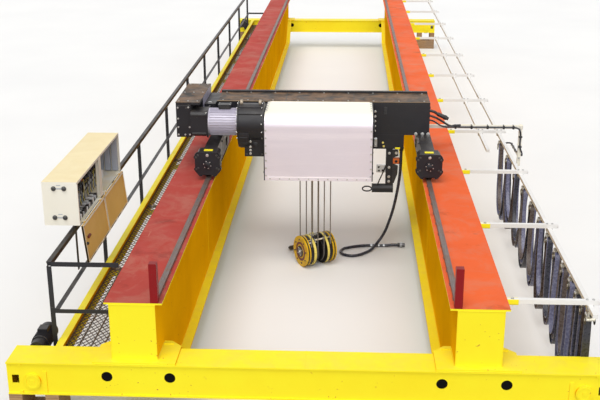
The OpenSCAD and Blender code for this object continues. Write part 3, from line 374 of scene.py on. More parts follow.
MATS = {
    # yellow paint: the second colour pair is painted shade for the girders' webs and other faces that look along X
    "yellow_paint": painted("yellow_paint", YELLOW, YELLOW_DARK, (0.66, 0.50, 0.12), 0.42, 0.28,
                            chips=(0.45, 0.10, 0.04), shaded_sides=((0.98, 0.50, 0.003), (0.86, 0.40, 0.002)), gloss=0.16),
    "red_primer": red_primer(),
    "rail_steel": bare_metal("rail_steel", (0.23, 0.19, 0.18), (0.13, 0.105, 0.10), 0.46, (30, 1, 30), 0.55,
                             bloom=(0.20, 0.105, 0.06), bloom_at=0.56),
    "red_paint": painted("red_paint", (0.26, 0.006, 0.008), (0.17, 0.004, 0.006), (0.30, 0.10, 0.08), 0.40, 0.2,
                         chips=(0.12, 0.05, 0.04), gloss=0.2),
    "black_paint": painted("black_paint", (0.010, 0.010, 0.014), (0.018, 0.017, 0.020), (0.10, 0.080, 0.060),
                           0.40, 0.45, chips=(0.10, 0.09, 0.08), gloss=0.35),
    "timber": timber(),
    "grating_steel": bare_metal("grating_steel", (0.30, 0.275, 0.26), (0.17, 0.15, 0.14), 0.5, (8, 8, 8), 0.5,
                                bloom=(0.16, 0.10, 0.07), bloom_at=0.6),
    "cream_paint": painted("cream_paint", (0.84, 0.82, 0.74), (0.80, 0.77, 0.66), (0.80, 0.66, 0.36), 0.42, 0.85),
    "cabinet_gear": rubbery("cabinet_gear", (0.30, 0.31, 0.32), (0.38, 0.39, 0.40), 0.5),
    "door_primer": painted("door_primer", (0.78, 0.52, 0.17), (0.66, 0.42, 0.12), (0.50, 0.40, 0.24), 0.5, 0.2),
    "arm_paint": painted("arm_paint", (0.80, 0.79, 0.78), (0.72, 0.71, 0.69), (0.60, 0.55, 0.46), 0.4, 0.25),
    "carrier_steel": bare_metal("carrier_steel", (0.66, 0.62, 0.52), (0.26, 0.24, 0.20), 0.34, (20, 20, 20)),
    "cable_sheath": rubbery("cable_sheath", (0.012, 0.013, 0.022), (0.030, 0.030, 0.050), 0.28),
    # cover: painted reflection bands on its faces and a warm painted highlight on its top
    "cover_aluminium": brushed("cover_aluminium", (0.86, 0.80, 0.87), (0.66, 0.61, 0.70), rough=0.38, metallic=0.35,
                               painted_reflection_bands=(0.35, 1, 8), top=(1.0, 0.96, 0.80)),
    "motor_aluminium": brushed("motor_aluminium", (0.60, 0.57, 0.66), (0.40, 0.38, 0.46), (1.2, 8, 8), 0.46, 0.35),
    "drum_steel": bare_metal("drum_steel", (0.30, 0.29, 0.28), (0.18, 0.175, 0.17), 0.4, (40, 6, 6)),
    "plug_zinc": bare_metal("plug_zinc", (0.17, 0.17, 0.18), (0.07, 0.07, 0.08), 0.36, (20, 20, 20)),
    "rope_wire": bare_metal("rope_wire", (0.34, 0.32, 0.29), (0.17, 0.155, 0.14), 0.42, (60, 60, 60), 0.75,
                            bloom=(0.14, 0.08, 0.045), bloom_at=0.66),
    "hook_steel": bare_metal("hook_steel", (0.060, 0.052, 0.047), (0.028, 0.025, 0.024), 0.45, (9, 9, 9), 0.6,
                             bloom=(0.13, 0.065, 0.035), bloom_at=0.62),
}
BLACK = MATS["black_paint"]
BOLT = bare_metal("bolt_zinc", (0.62, 0.62, 0.60), (0.40, 0.40, 0.40), 0.32, (50, 50, 50))
DARK_BOLT = bare_metal("bolt_dark", (0.10, 0.10, 0.10), (0.05, 0.05, 0.05), 0.36, (50, 50, 50), 0.7)
PLASTIC_BLACK = rubbery("plastic_black", (0.014, 0.014, 0.016), (0.028, 0.028, 0.030), 0.42)
PLASTIC_GREY = rubbery("plastic_grey", (0.42, 0.44, 0.46), (0.50, 0.52, 0.54), 0.5)
PLASTIC_WHITE = rubbery("plastic_white", (0.72, 0.73, 0.72), (0.64, 0.65, 0.65), 0.45)
PALE_YELLOW = painted("pale_yellow", (0.86, 0.72, 0.20), (0.78, 0.62, 0.14), (0.50, 0.42, 0.25), 0.4, 0.2)
SHEET_ZINC = bare_metal("sheet_zinc", (0.58, 0.60, 0.62), (0.44, 0.46, 0.49), 0.36, (3, 3, 3), 0.8)
DUSTY = painted("dusty_black", (0.020, 0.018, 0.016), (0.040, 0.034, 0.028), (0.20, 0.112, 0.056), 0.42, 1.3, gloss=0.15)
LAVENDER = painted("pale_edge", (0.34, 0.32, 0.42), (0.26, 0.24, 0.34), (0.30, 0.28, 0.30), 0.4, 0.2)
CAST_EAR = bare_metal("cast_ear", (0.42, 0.36, 0.28), (0.26, 0.21, 0.16), 0.5, (20, 20, 20), 0.6)
RIBBON_LIGHT = rubbery("ribbon_light", (0.10, 0.105, 0.19), (0.20, 0.205, 0.31), 0.22)
RIBBON_BROWN = rubbery("ribbon_brown", (0.060, 0.040, 0.034), (0.11, 0.080, 0.066), 0.28)
GREASED = bare_metal("greased_steel", (0.045, 0.042, 0.040), (0.018, 0.017, 0.017), 0.38, (12, 12, 12), 0.6)
OILY = bare_metal("oily_cap", (0.075, 0.040, 0.022), (0.030, 0.018, 0.012), 0.4, (9, 9, 9), 0.5)
PANEL_BLUE = painted("panel_blue", (0.40, 0.44, 0.52), (0.34, 0.38, 0.46), (0.40, 0.40, 0.40), 0.45, 0.2)
DUCT_BLUE = rubbery("duct_blue", (0.30, 0.36, 0.42), (0.36, 0.42, 0.48), 0.5)
CREAM_TOP = painted("cream_lid", (0.84, 0.72, 0.44), (0.78, 0.66, 0.38), (0.74, 0.60, 0.32), 0.45, 0.6)
MESH_STEEL = bare_metal("mesh_steel", (0.24, 0.215, 0.20), (0.12, 0.10, 0.095), 0.5, (30, 30, 30), 0.5)
WELD = bare_metal("weld_bead", (0.20, 0.13, 0.09), (0.10, 0.06, 0.045), 0.55, (40, 40, 40), 0.4)
# pale brown colour for a thin strip along the near edge of the trolley beam's top
PALE_BROWN_EDGE = painted("pale_brown_edge", (0.30, 0.20, 0.10), (0.18, 0.12, 0.07), (0.34, 0.24, 0.14), 0.5, 0.6)
DARK_INSIDE = rubbery("dark_inside", (0.003, 0.003, 0.004), (0.006, 0.006, 0.006), 0.85, gloss=0.06)
ORANGE = rubbery("plastic_orange", (0.70, 0.16, 0.02), (0.60, 0.12, 0.02), 0.4)
DARK_RED = painted("dark_red", (0.16, 0.022, 0.016), (0.10, 0.016, 0.012), (0.20, 0.14, 0.10), 0.45, 0.2)


# mesh building
class Piece:
    """Gathers solids in one mesh, in the row frame. mi is the material's place in the list given to done()."""

    def __init__(self):
        self.v, self.f, self.m, self.s = [], [], [], []
        self.move = Matrix.Identity(4)

    def add(self, verts, faces, mi=0, smooth=False):
        k = len(self.v)
        self.v += [self.move @ Vector(p) for p in verts]
        self.f += [tuple(k + i for i in f) for f in faces]
        self.m += [mi] * len(faces)
        self.s += [smooth] * len(faces)

    def box(self, a, b, mi=0, c=0.0):
        """Box from corner to corner, its twelve edges chamfered by c."""
        a, b = [min(p, q) for p, q in zip(a, b)], [max(p, q) for p, q in zip(a, b)]
        c = min([c] + [(q - p) * 0.45 for p, q in zip(a, b)])
        if c <= 0:
            v = [(x, y, z) for z in (a[2], b[2]) for y in (a[1], b[1]) for x in (a[0], b[0])]
            f = [(0, 2, 3, 1), (4, 5, 7, 6), (0, 1, 5, 4), (2, 6, 7, 3), (0, 4, 6, 2), (1, 3, 7, 5)]
            self.add(v, f, mi)
            return
        v, ids = [], {}
        for sx in (0, 1):
            for sy in (0, 1):
                for sz in (0, 1):
                    corner = [(a, b)[s][i] for i, s in enumerate((sx, sy, sz))]
                    sign = [1 if s == 0 else -1 for s in (sx, sy, sz)]
                    for k in range(3):
                        p = [corner[i] + sign[i] * c * (i != k) for i in range(3)]
                        ids[sx, sy, sz, k] = len(v)
                        v.append(p)
        f = []
        for k in range(3):
            i, j = [n for n in range(3) if n != k]
            for s in (0, 1):
                ring = []
                for u, w in ((0, 0), (1, 0), (1, 1), (0, 1)):
                    key = [0, 0, 0]
                    key[k], key[i], key[j] = s, u, w
                    ring.append(ids[key[0], key[1], key[2], k])
                f.append(ring)
        for k in range(3):
            i, j = [n for n in range(3) if n != k]
            for u in (0, 1):
                for w in (0, 1):
                    lo, hi = [0, 0, 0], [0, 0, 0]
                    lo[i] = hi[i] = u
                    lo[j] = hi[j] = w
                    hi[k] = 1
                    f.append([ids[(*lo, i)], ids[(*hi, i)], ids[(*hi, j)], ids[(*lo, j)]])
        for sx in (0, 1):
            for sy in (0, 1):
                for sz in (0, 1):
                    f.append([ids[sx, sy, sz, k] for k in range(3)])
        mid = Vector([(p + q) / 2 for p, q in zip(a, b)])
        out = []
        for g in f:
            p = [Vector(v[i]) for i in g]
            n = (p[1] - p[0]).cross(p[2] - p[0])
            out.append(g if n.dot(sum(p, Vector()) / len(p) - mid) > 0 else g[::-1])
        self.add(v, out, mi)

    def lathe(self, at, axis, profile, n=24, mi=0, smooth=True, start=0.0):
        """Turned solid: profile is (distance along axis, radius) from one end to the other."""
        z = Vector(axis).normalized()
        x = z.orthogonal().normalized()
        y = z.cross(x)
        at = Vector(at)
        v, f = [], []
        rows = []
        for d, r in profile:
            if r < 1e-7:
                rows.append([len(v)])
                v.append(at + z * d)
                continue
            rows.append(list(range(len(v), len(v) + n)))
            for i in range(n):
                a = 2 * math.pi * i / n + start
                v.append(at + z * d + x * (r * math.cos(a)) + y * (r * math.sin(a)))
        for p, q in zip(rows, rows[1:]):
            if len(p) == 1 and len(q) == 1:
                continue
            for i in range(n):
                j = (i + 1) % n
                if len(p) == 1:
                    f.append((p[0], q[j], q[i]))
                elif len(q) == 1:
                    f.append((p[i], p[j], q[0]))
                else:
                    f.append((p[i], p[j], q[j], q[i]))
        ring = len(rows) > 2 and abs(profile[0][0] - profile[-1][0]) < 1e-7 and len(rows[0]) == len(rows[-1]) == n
        for i in range(n if ring else 0):
            j = (i + 1) % n
            f.append((rows[-1][i], rows[-1][j], rows[0][j], rows[0][i]))
        for row, flip in () if ring else ((rows[0], True), (rows[-1], False)):
            if len(row) > 1:
                f.append(tuple(row[::-1]) if flip else tuple(row))
        self.add(v, f, mi, smooth)

    def rod(self, p, q, r, n=16, mi=0, c=0.0, smooth=True):
        p, q = Vector(p), Vector(q)
        d = (q - p).length
        c = min(c, r * 0.6, d * 0.4)
        prof = [(0, r), (d, r)] if c <= 0 else [(0, r - c), (c, r), (d - c, r), (d, r - c)]
        self.lathe(p, q - p, prof, n, mi, smooth)

    def bolt(self, at, axis, d, h=None, mi=0, washer=True):
        """Six-sided bolt head on a washer; d is the thread's diameter."""
        h = h or 0.62 * d
        w = 0.0
        if washer:
            w = 0.14 * d
            self.lathe(at, axis, [(0, 1.08 * d), (w, 1.08 * d)], 16, mi)
        p = Vector(at) + Vector(axis).normalized() * w
        self.lathe(p, axis, [(0, 0.92 * d), (h * 0.86, 0.92 * d), (h, 0.78 * d)], 6, mi, False)

    def sweep(self, points, section, mi=0, closed=False, smooth=True, up=(0, 0, 1)):
        """A section, a list of (side, up) pairs, carried along points."""
        pts = [Vector(p) for p in points]
        n, m = len(section), len(pts)
        v, f = [], []
        side = None
        for i, p in enumerate(pts):
            t = (pts[min(i + 1, m - 1)] - pts[max(i - 1, 0)]).normalized()
            s = t.cross(Vector(up))
            if s.length < 1e-4:
                s = side if side is not None else t.orthogonal()
            s.normalize()
            if side is not None and s.dot(side) < 0:
                s = -s
            side = s
            u = s.cross(t)
            v += [p + s * a + u * b for a, b in section]
        for i in range(m - 1):
            for k in range(n):
                j = (k + 1) % n
                f.append((i * n + k, i * n + j, (i + 1) * n + j, (i + 1) * n + k))
        f.append(tuple(range(n))[::-1])
        f.append(tuple((m - 1) * n + k for k in range(n)))
        self.add(v, f, mi, smooth)

    def tube(self, points, r, n=10, mi=0):
        """Round tube with a frame that doesn't twist."""
        pts = [Vector(p) for p in points]
        m = len(pts)
        v, f = [], []
        t0 = (pts[1] - pts[0]).normalized()
        s = t0.orthogonal().normalized()
        for i, p in enumerate(pts):
            t = (pts[min(i + 1, m - 1)] - pts[max(i - 1, 0)]).normalized()
            s = (s - t * s.dot(t)).normalized()
            u = t.cross(s)
            v += [p + s * (r * math.cos(2 * math.pi * k / n)) + u * (r * math.sin(2 * math.pi * k / n))
                  for k in range(n)]
        for i in range(m - 1):
            for k in range(n):
                j = (k + 1) % n
                f.append((i * n + k, i * n + j, (i + 1) * n + j, (i + 1) * n + k))
        f.append(tuple(range(n))[::-1])
        f.append(tuple((m - 1) * n + k for k in range(n)))
        self.add(v, f, mi, True)

    def plate(self, outline, axis, lo, hi, mi=0):
        """Prism: outline is a list of 2D points in the plane square to axis (0 X, 1 Y, 2 Z)."""
        def place(p, d):
            return ((d, p[0], p[1]), (p[0], d, p[1]), (p[0], p[1], d))[axis]
        n = len(outline)
        area = sum(a[0] * b[1] - b[0] * a[1] for a, b in zip(outline, outline[1:] + outline[:1]))
        if (area < 0) != (axis == 1):
            outline = outline[::-1]
        v = [place(p, lo) for p in outline] + [place(p, hi) for p in outline]
        f = [tuple(range(n))[::-1], tuple(range(n, 2 * n))]
        f += [(k, (k + 1) % n, n + (k + 1) % n, n + k) for k in range(n)]
        self.add(v, f, mi)

    def done(self, name, mats, body=None, slot=None, replaces=(), bevel=0.0, sharp=35, segments=2):
        me = bpy.data.meshes.new(name)
        me.from_pydata([tuple(p) for p in self.v], [], self.f)
        for m in mats if isinstance(mats, (list, tuple)) else [mats]:
            me.materials.append(m)
        me.polygons.foreach_set("material_index", self.m)
        smooth = bevel > 0
        me.polygons.foreach_set("use_smooth", [s or smooth for s in self.s])
        me.update()
        o = bpy.data.objects.new(name, me)
        bpy.context.scene.collection.objects.link(o)
        mark_sharp(me, sharp)
        if bevel > 0:
            add_bevel(o, bevel, segments)
        if body:
            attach(o, body)
        if replaces:
            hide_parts(*replaces)
        return o


def mark_sharp(me, degrees):
    bm = bmesh.new()
    bm.from_mesh(me)
    limit = math.radians(degrees)
    for e in bm.edges:
        e.smooth = len(e.link_faces) == 2 and e.calc_face_angle(4.0) < limit
    bm.to_mesh(me)
    bm.free()


def add_bevel(o, width, segments=2):
    m = o.modifiers.new("edges", "BEVEL")
    m.width, m.segments = width, segments
    m.limit_method, m.angle_limit = "ANGLE", math.radians(40)
    m.use_clamp_overlap = True
    m.harden_normals = True
    return m


def circle(r, n, at=(0, 0), start=0.0):
    return [(at[0] + r * math.cos(start + 2 * math.pi * k / n), at[1] + r * math.sin(start + 2 * math.pi * k / n))
            for k in range(n)]




# cords, whose routes repeat those of the CAD source, in metres
PENDANT_D, TOW_CABLE_D = 0.036, 0.020
PENDANT_ROUTE = [
    (0.985, -5.030, 1.340), (0.985, -5.030, 1.310), (0.985, -5.030, 1.280), (0.983, -5.033, 1.160),
    (0.974, -5.039, 1.010), (0.955, -5.040, 0.850), (0.930, -5.025, 0.690), (0.900, -4.990, 0.530),
    (0.865, -4.930, 0.380), (0.830, -4.880, 0.250), (0.785, -4.865, 0.150), (0.735, -4.890, 0.085),
    (0.690, -4.945, 0.046), (0.648, -5.010, 0.026), (0.600, -5.070, 0.019), (0.545, -5.130, 0.019),
    (0.499, -5.174, 0.019), (0.400, -5.215, 0.019), (0.301, -5.174, 0.019), (0.260, -5.075, 0.019),
    (0.301, -4.976, 0.019), (0.330, -4.954, 0.019), (0.420, -4.905, 0.019), (0.520, -4.870, 0.019),
    (0.620, -4.853, 0.019), (0.740, -4.850, 0.019), (0.850, -4.850, 0.022), (0.910, -4.850, 0.030),
    (0.945, -4.850, 0.031), (0.965, -4.850, 0.031), (0.985, -4.850, 0.031)]
TOW_ROUTE = [
    (1.310, -4.700, 1.640), (1.325, -4.700, 1.640), (1.340, -4.700, 1.640), (1.390, -4.690, 1.625),
    (1.450, -4.650, 1.580), (1.500, -4.600, 1.540), (1.560, -4.573, 1.521), (1.640, -4.571, 1.520),
    (1.850, -4.571, 1.520), (2.050, -4.571, 1.520), (2.250, -4.571, 1.520), (2.360, -4.571, 1.520),
    (2.415, -4.571, 1.520), (2.472, -4.571, 1.497), (2.495, -4.571, 1.440), (2.495, -4.571, 1.370),
    (2.495, -4.571, 1.300), (2.506, -4.573, 1.240), (2.526, -4.570, 1.190), (2.533, -4.545, 1.152),
    (2.531, -4.500, 1.141), (2.522, -4.440, 1.141), (2.508, -4.380, 1.141), (2.497, -4.310, 1.141),
    (2.495, -4.240, 1.141), (2.495, -4.120, 1.141), (2.495, -4.000, 1.141), (2.492, -3.955, 1.141),
    (2.474, -3.914, 1.137), (2.448, -3.888, 1.130), (2.425, -3.880, 1.125), (2.413, -3.880, 1.125),
    (2.401, -3.880, 1.125)]


def smooth_path(points, steps):
    """The smooth curve through points that the CAD source sweeps."""
    n, out = len(points), []
    for i in range(n - 1):
        a, b, c, d = (Vector(points[max(0, min(n - 1, i + k))]) for k in (-1, 0, 1, 2))
        for j in range(steps):
            t = j / steps
            out.append(0.5 * (2 * b + (c - a) * t + (2 * a - 5 * b + 4 * c - d) * t * t
                              + (3 * b - a - 3 * c + d) * t ** 3))
    return out + [Vector(points[-1])]


def pendant():
    p = Piece()
    path = smooth_path(PENDANT_ROUTE, 6)
    p.tube(path, PENDANT_D / 2, 14)
    cable = p.done("pendant_hose", MATS["cable_sheath"], "trolley", "cable_sheath", ["pendant_cable"], sharp=60)
    k = Piece()
    x, y, z = PENDANT_ROUTE[-1]
    for i in range(16):
        a = 2 * math.pi * i / 16
        k.move = Matrix.Translation((x, y, z)) @ Matrix.Rotation(a, 4, "X")
        k.box((0.031, -0.003, 0.0275), (0.057, 0.003, 0.0302), 0, 0.001)
    k.move = Matrix.Identity(4)
    k.lathe((x + 0.0895, y, z), (1, 0, 0), [(0, 0.021), (0.004, 0.020), (0.0045, 0.016), (0.002, 0.015)], 24, 1)
    k.lathe((x + 0.001, y, z), (1, 0, 0), [(0, 0.0262), (0.018, 0.0262), (0.021, 0.0255)], 24, 1)
    for tape in (0.640, 0.735, 0.800):
        k.lathe((tape, -4.8515, 0.0192), (1, 0, 0), [(0, 0.0180), (0, 0.0187), (0.022, 0.0187), (0.022, 0.0180)], 20, 0)
    k.done("plug_grip", [SHEET_ZINC, PLASTIC_BLACK], "trolley", "plug_zinc")
    g = Piece()
    gx, gy, gz = PENDANT_ROUTE[0]
    g.lathe((gx, gy, gz - 0.001), (0, 0, 1), [(0, 0.024), (0.006, 0.0275), (0.016, 0.0275)], 6, 0, False)
    g.lathe((gx, gy, gz + 0.0345), (0, 0, -1), [(0, 0.034), (0.006, 0.034), (0.010, 0.027)], 24, 0)
    g.done("panel_gland", PLASTIC_BLACK, "trolley", "black_paint")


def tow_lead():
    p = Piece()
    p.tube(smooth_path(TOW_ROUTE, 5), TOW_CABLE_D / 2, 12)
    p.done("tow_lead", MATS["cable_sheath"], "trolley", "cable_sheath", ["tow_cable"], sharp=60)
    c = Piece()
    for x in (1.68, 1.88, 2.08, 2.28, 2.40):
        c.box((x - 0.012, -4.5835, 1.497), (x + 0.012, -4.5605, 1.543), 0, 0.003)
        c.box((x - 0.006, -4.600, 1.5405), (x + 0.006, -4.519, 1.5435), 0, 0.001)
    for z in (1.40, 1.27):
        c.box((2.472, -4.5835, z - 0.010), (2.518, -4.5605, z + 0.010), 0, 0.003)
    for y in (-4.25, -4.10, -3.97):
        c.box((2.484, y - 0.008, 1.1135), (2.506, y + 0.008, 1.153), 0, 0.003)
    # thick lead out of the beam's end, with its connector, that joins the bundle on the arm
    c.tube([(1.306, -4.800, 1.780), (1.345, -4.800, 1.782), (1.390, -4.798, 1.768), (1.430, -4.795, 1.740)], 0.017, 12, 0)
    c.tube([(1.306, -4.800, 1.720), (1.350, -4.800, 1.718), (1.420, -4.796, 1.690), (1.500, -4.780, 1.640),
            (1.570, -4.730, 1.585), (1.620, -4.650, 1.552), (1.660, -4.600, 1.548), (1.740, -4.590, 1.550)], 0.013, 12, 0)
    c.lathe((1.425, -4.7952, 1.744), (0.90, 0.06, -0.43),
            [(0, 0.019), (0.012, 0.025), (0.090, 0.025), (0.094, 0.029), (0.125, 0.029), (0.130, 0.022), (0.150, 0.021)], 16, 0)
    c.done("tow_lead_clips", PLASTIC_BLACK, "trolley", "black_paint")


# cable festoon
CLAMP_Y, TOW_Y, CARRIERS = -9.120, -3.860, 11
GAP, GAP_GROWTH = (TOW_Y - CLAMP_Y) / (CARRIERS + 1), 0.045
STOPS = [CLAMP_Y]
for stop in range(CARRIERS + 1):
    STOPS.append(STOPS[-1] + GAP + GAP_GROWTH * (stop - CARRIERS / 2))
SADDLE_Z, SADDLE_R = 1.069, 0.038
RIBBON_T, RIBBONS = 0.0075, 4


def carrier_body(i):
    return "bridge" if i == 0 else "tow_carrier" if i == CARRIERS + 1 else "carrier_%d" % i


def ribbon_path(y0, y1, r, depth, lean):
    """Over one saddle, down, round and up over the next, r from the saddle's axis; its far leg may lean in."""
    pts = [(y0 + r * math.sin(a), SADDLE_Z + r * math.cos(a)) for a in (0.0, 0.4, 0.8, 1.2)]
    a, b = y0 + r, y1 - r
    mid, half_w = (a + b - lean) / 2, (b - lean - a) / 2
    low = SADDLE_Z - depth
    bend = min(0.62, 1.15 * half_w + 0.12)
    top = SADDLE_Z - 0.03
    for k in range(7):
        t = k / 7
        z = top + (low + bend - top) * t
        pts.append((a - 0.012 * math.sin(math.pi * t), z))
    for k in range(17):
        w = math.pi * k / 16
        pts.append((mid - half_w * math.cos(w), low + bend * (1 - math.sin(w))))
    for k in range(7):
        t = 1 - (k + 1) / 7
        z = top + (low + bend - top) * t
        pts.append((b + 0.012 * math.sin(math.pi * t) - lean * (1 - (1 - t) ** 2), z))
    pts += [(y1 - r * math.sin(a), SADDLE_Z + r * math.cos(a)) for a in (1.2, 0.8, 0.4, 0.0)]
    return pts


def festoon_loops():
    dice = random.Random(41)
    for i in range(CARRIERS + 1):
        y0, y1 = STOPS[i], STOPS[i + 1]
        p = Piece()
        for k in range(RIBBONS):
            r = SADDLE_R + 0.0045 + k * (RIBBON_T + 0.0006)
            # a wider gap takes more of each cable's length, so its loop hangs less deep
            depth = 1.00 - (0.36 if i < CARRIERS else 0.16) * (y1 - y0) - 0.040 * k + dice.uniform(-0.030, 0.025)
            width = (0.062, 0.052, 0.064, 0.044)[k]
            shift = dice.uniform(-1, 1) * (0.066 - width) / 2
            sway = dice.uniform(-0.020, 0.020)
            # the last leg keeps clear of the far end truck at the end of the travel
            pts = ribbon_path(y0, y1, r, depth, 0.05 if i == CARRIERS else 0.0)
            n = len(pts) - 1
            path = [(CRAIL_X + shift + sway * math.sin(math.pi * j / n) ** 2, y, z) for j, (y, z) in enumerate(pts)]
            t, w = RIBBON_T / 2, width / 2
            ribs = [(-t, -w), (t, -w)] + [(t * (1.0 if q % 2 else 0.55), -w + 2 * w * q / 8) for q in range(1, 8)]
            ribs += [(t, w), (-t, w)] + [(-t * (1.0 if q % 2 else 0.55), w - 2 * w * q / 8) for q in range(1, 8)]
            p.sweep(path, ribs, (0, 1, 2, 1)[(k + i) % 4], up=(1, 0, 0))
        o = p.done("festoon_loop_%d" % (i + 1), [MATS["cable_sheath"], RIBBON_LIGHT, RIBBON_BROWN], sharp=75)
        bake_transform(o)
    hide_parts("festoon_cables")


def carrier_fittings():
    for i in range(CARRIERS + 2):
        p = Piece()
        p.move = Matrix.Translation((CRAIL_X, STOPS[i], 0))
        top = SADDLE_Z + SADDLE_R + 0.0045 + RIBBONS * (RIBBON_T + 0.0006)
        for s in (-1, 1):
            p.box((s * 0.0305, -0.030, 1.106), (s * 0.0345, 0.030, 1.139), 0, 0.001)
            p.lathe((s * 0.0345, 0.016, 1.124), (s, 0, 0), [(0, 0.0085), (0.004, 0.0085), (0.005, 0.006)], 12, 1)
            p.lathe((s * 0.0345, -0.016, 1.124), (s, 0, 0), [(0, 0.0085), (0.004, 0.0085), (0.005, 0.006)], 12, 1)
            p.lathe((0, s * 0.038, 1.124), (0, s, 0), [(0, 0.013), (0.010, 0.013), (0.014, 0.009)], 14, 2)
            p.lathe((s * 0.0405, 0, SADDLE_Z), (s, 0, 0), [(0, 0.014), (0.002, 0.014), (0.0025, 0.011)], 14, 1)
            p.lathe((s * 0.0375, 0, SADDLE_Z), (s, 0, 0),
                    [(0, SADDLE_R + 0.004), (0.003, SADDLE_R + 0.004), (0.003, SADDLE_R - 0.003)], 20, 2)
        p.done("carrier_fittings_%d" % i, [SHEET_ZINC, PLASTIC_WHITE, PLASTIC_BLACK], carrier_body(i),
               "carrier_steel")


def arm_fittings():
    p = Piece()
    for k in range(11):
        y = -9.080 + 1.816 * k
        for x in (CRAIL_X,) if not -4.6 < y < 4.1 else (CRAIL_X, 2.120):
            p.box((x - 0.030, y - 0.024, 1.1560), (x - 0.0205, y + 0.024, 1.1945), 1, 0.002)
            p.box((x + 0.0205, y - 0.024, 1.1560), (x + 0.030, y + 0.024, 1.1945), 1, 0.002)
            for s in (-1, 1):
                p.bolt((x + s * 0.026, y, 1.235), (0, 0, 1), 0.012, mi=1)
        p.lathe((2.444, y, 1.215), (1, 0, 0), [(0, 0.021), (0.004, 0.024), (0.010, 0.024), (0.015, 0.014)], 16, 0)
        p.bolt((1.725, y, 1.2352), (0, 0, 1), 0.014, mi=1)
        p.box((1.6755, y - 0.030, 1.1860), (1.6835, y + 0.030, 1.2345), 2, 0.002)
        for lo, hi in ((-0.0275, -0.0205), (0.0205, 0.0275)):
            p.box((1.680, y + lo, 1.1880), (1.775, y + hi, 1.2345), 2, 0.002)
        p.box((1.680, y - 0.0275, 1.1870), (1.775, y + 0.0275, 1.1945), 2, 0.002)
    p.done("arm_fittings", [MATS["arm_paint"], BOLT, MATS["yellow_paint"]], "bridge", "arm_paint")
    q = Piece()
    for x, y0, y1 in ((CRAIL_X, -9.280, 9.280), (2.120, -4.440, 3.960)):
        for y in (y0, y1):
            s = 1 if y > 0 else -1
            q.box((x - 0.021, y, 1.158), (x + 0.021, y + s * 0.004, 1.1955), 0, 0.002)
        n = int((y1 - y0) / 3.0)
        for k in range(1, n + 1):
            y = y0 + (y1 - y0) * k / (n + 1)
            q.box((x - 0.0225, y - 0.045, 1.1575), (x - 0.0195, y + 0.045, 1.1935), 1, 0.001)
            q.box((x + 0.0195, y - 0.045, 1.1575), (x + 0.0225, y + 0.045, 1.1935), 1, 0.001)
    q.done("rail_joints", [MATS["arm_paint"], BOLT], "bridge", "arm_paint")
    t = Piece()
    t.lathe((2.495, -4.540, 1.497), (0, 0, 1), [(0, 0.026), (0.006, 0.029), (0.044, 0.029), (0.052, 0.020)], 20, 0)
    t.box((2.468, -4.566, 1.290), (2.522, -4.514, 1.298), 0, 0.002)
    t.lathe((2.495, -4.540, 1.010), (0, 0, 1), [(0, 0.012), (0.009, 0.024)], 16, 0)
    for y in (-4.566, -4.514):
        t.bolt((2.495, y, 1.123), (0, -1 if y < -4.54 else 1, 0), 0.012, mi=1)
    t.done("tow_arm_joint", [MATS["cream_paint"], BOLT], "trolley", "cream_paint")


# trolley
CARRIAGE_Z0, CARRIAGE_Z1 = 1.300, 1.550
DRIVE_Y0, DRIVE_Y1 = -6.045, -5.805
WHEEL_YS = (-5.910, -4.840)
MOTOR_Y, MOTOR_Z = -5.520, 1.810
GEAR_X0, GEAR_X1 = -0.944, -0.638
MOTOR_X0, BRAKE_X0 = -1.284, -1.484
BOX_X0, BOX_X1, BOX_Y0, BOX_Z0B, BOX_Z1 = -1.660, -1.385, -5.6015, 1.640, 2.050
COVER_Y0, COVER_Y1, COVER_Z0, COVER_Z1, COVER_R = -5.740, -5.090, 1.165, 1.950, 0.150
PANEL_X1, PANEL_Z0 = 1.010, 1.375


def rim(p, at, axis, r, n, d, mi=0, start=0.0, h=None):
    """A ring of n bolts round an axis."""
    z = Vector(axis).normalized()
    x = z.orthogonal().normalized()
    if abs(z.x) > 0.9:
        x = Vector((0, 1, 0))
    y = z.cross(x)
    for k in range(n):
        a = 2 * math.pi * k / n + start
        p.bolt(Vector(at) + x * (r * math.cos(a)) + y * (r * math.sin(a)), axis, d, h, mi, washer=False)


def cover_outline(inset=0.0):
    y0, z1, r = COVER_Y0 + inset, COVER_Z1 - inset, COVER_R - inset
    arc = [(y0 + r - r * math.cos(a), z1 - r + r * math.sin(a)) for a in [math.pi / 2 * k / 10 for k in range(11)]]
    return [(y0, COVER_Z0)] + arc + [(COVER_Y1, z1)]


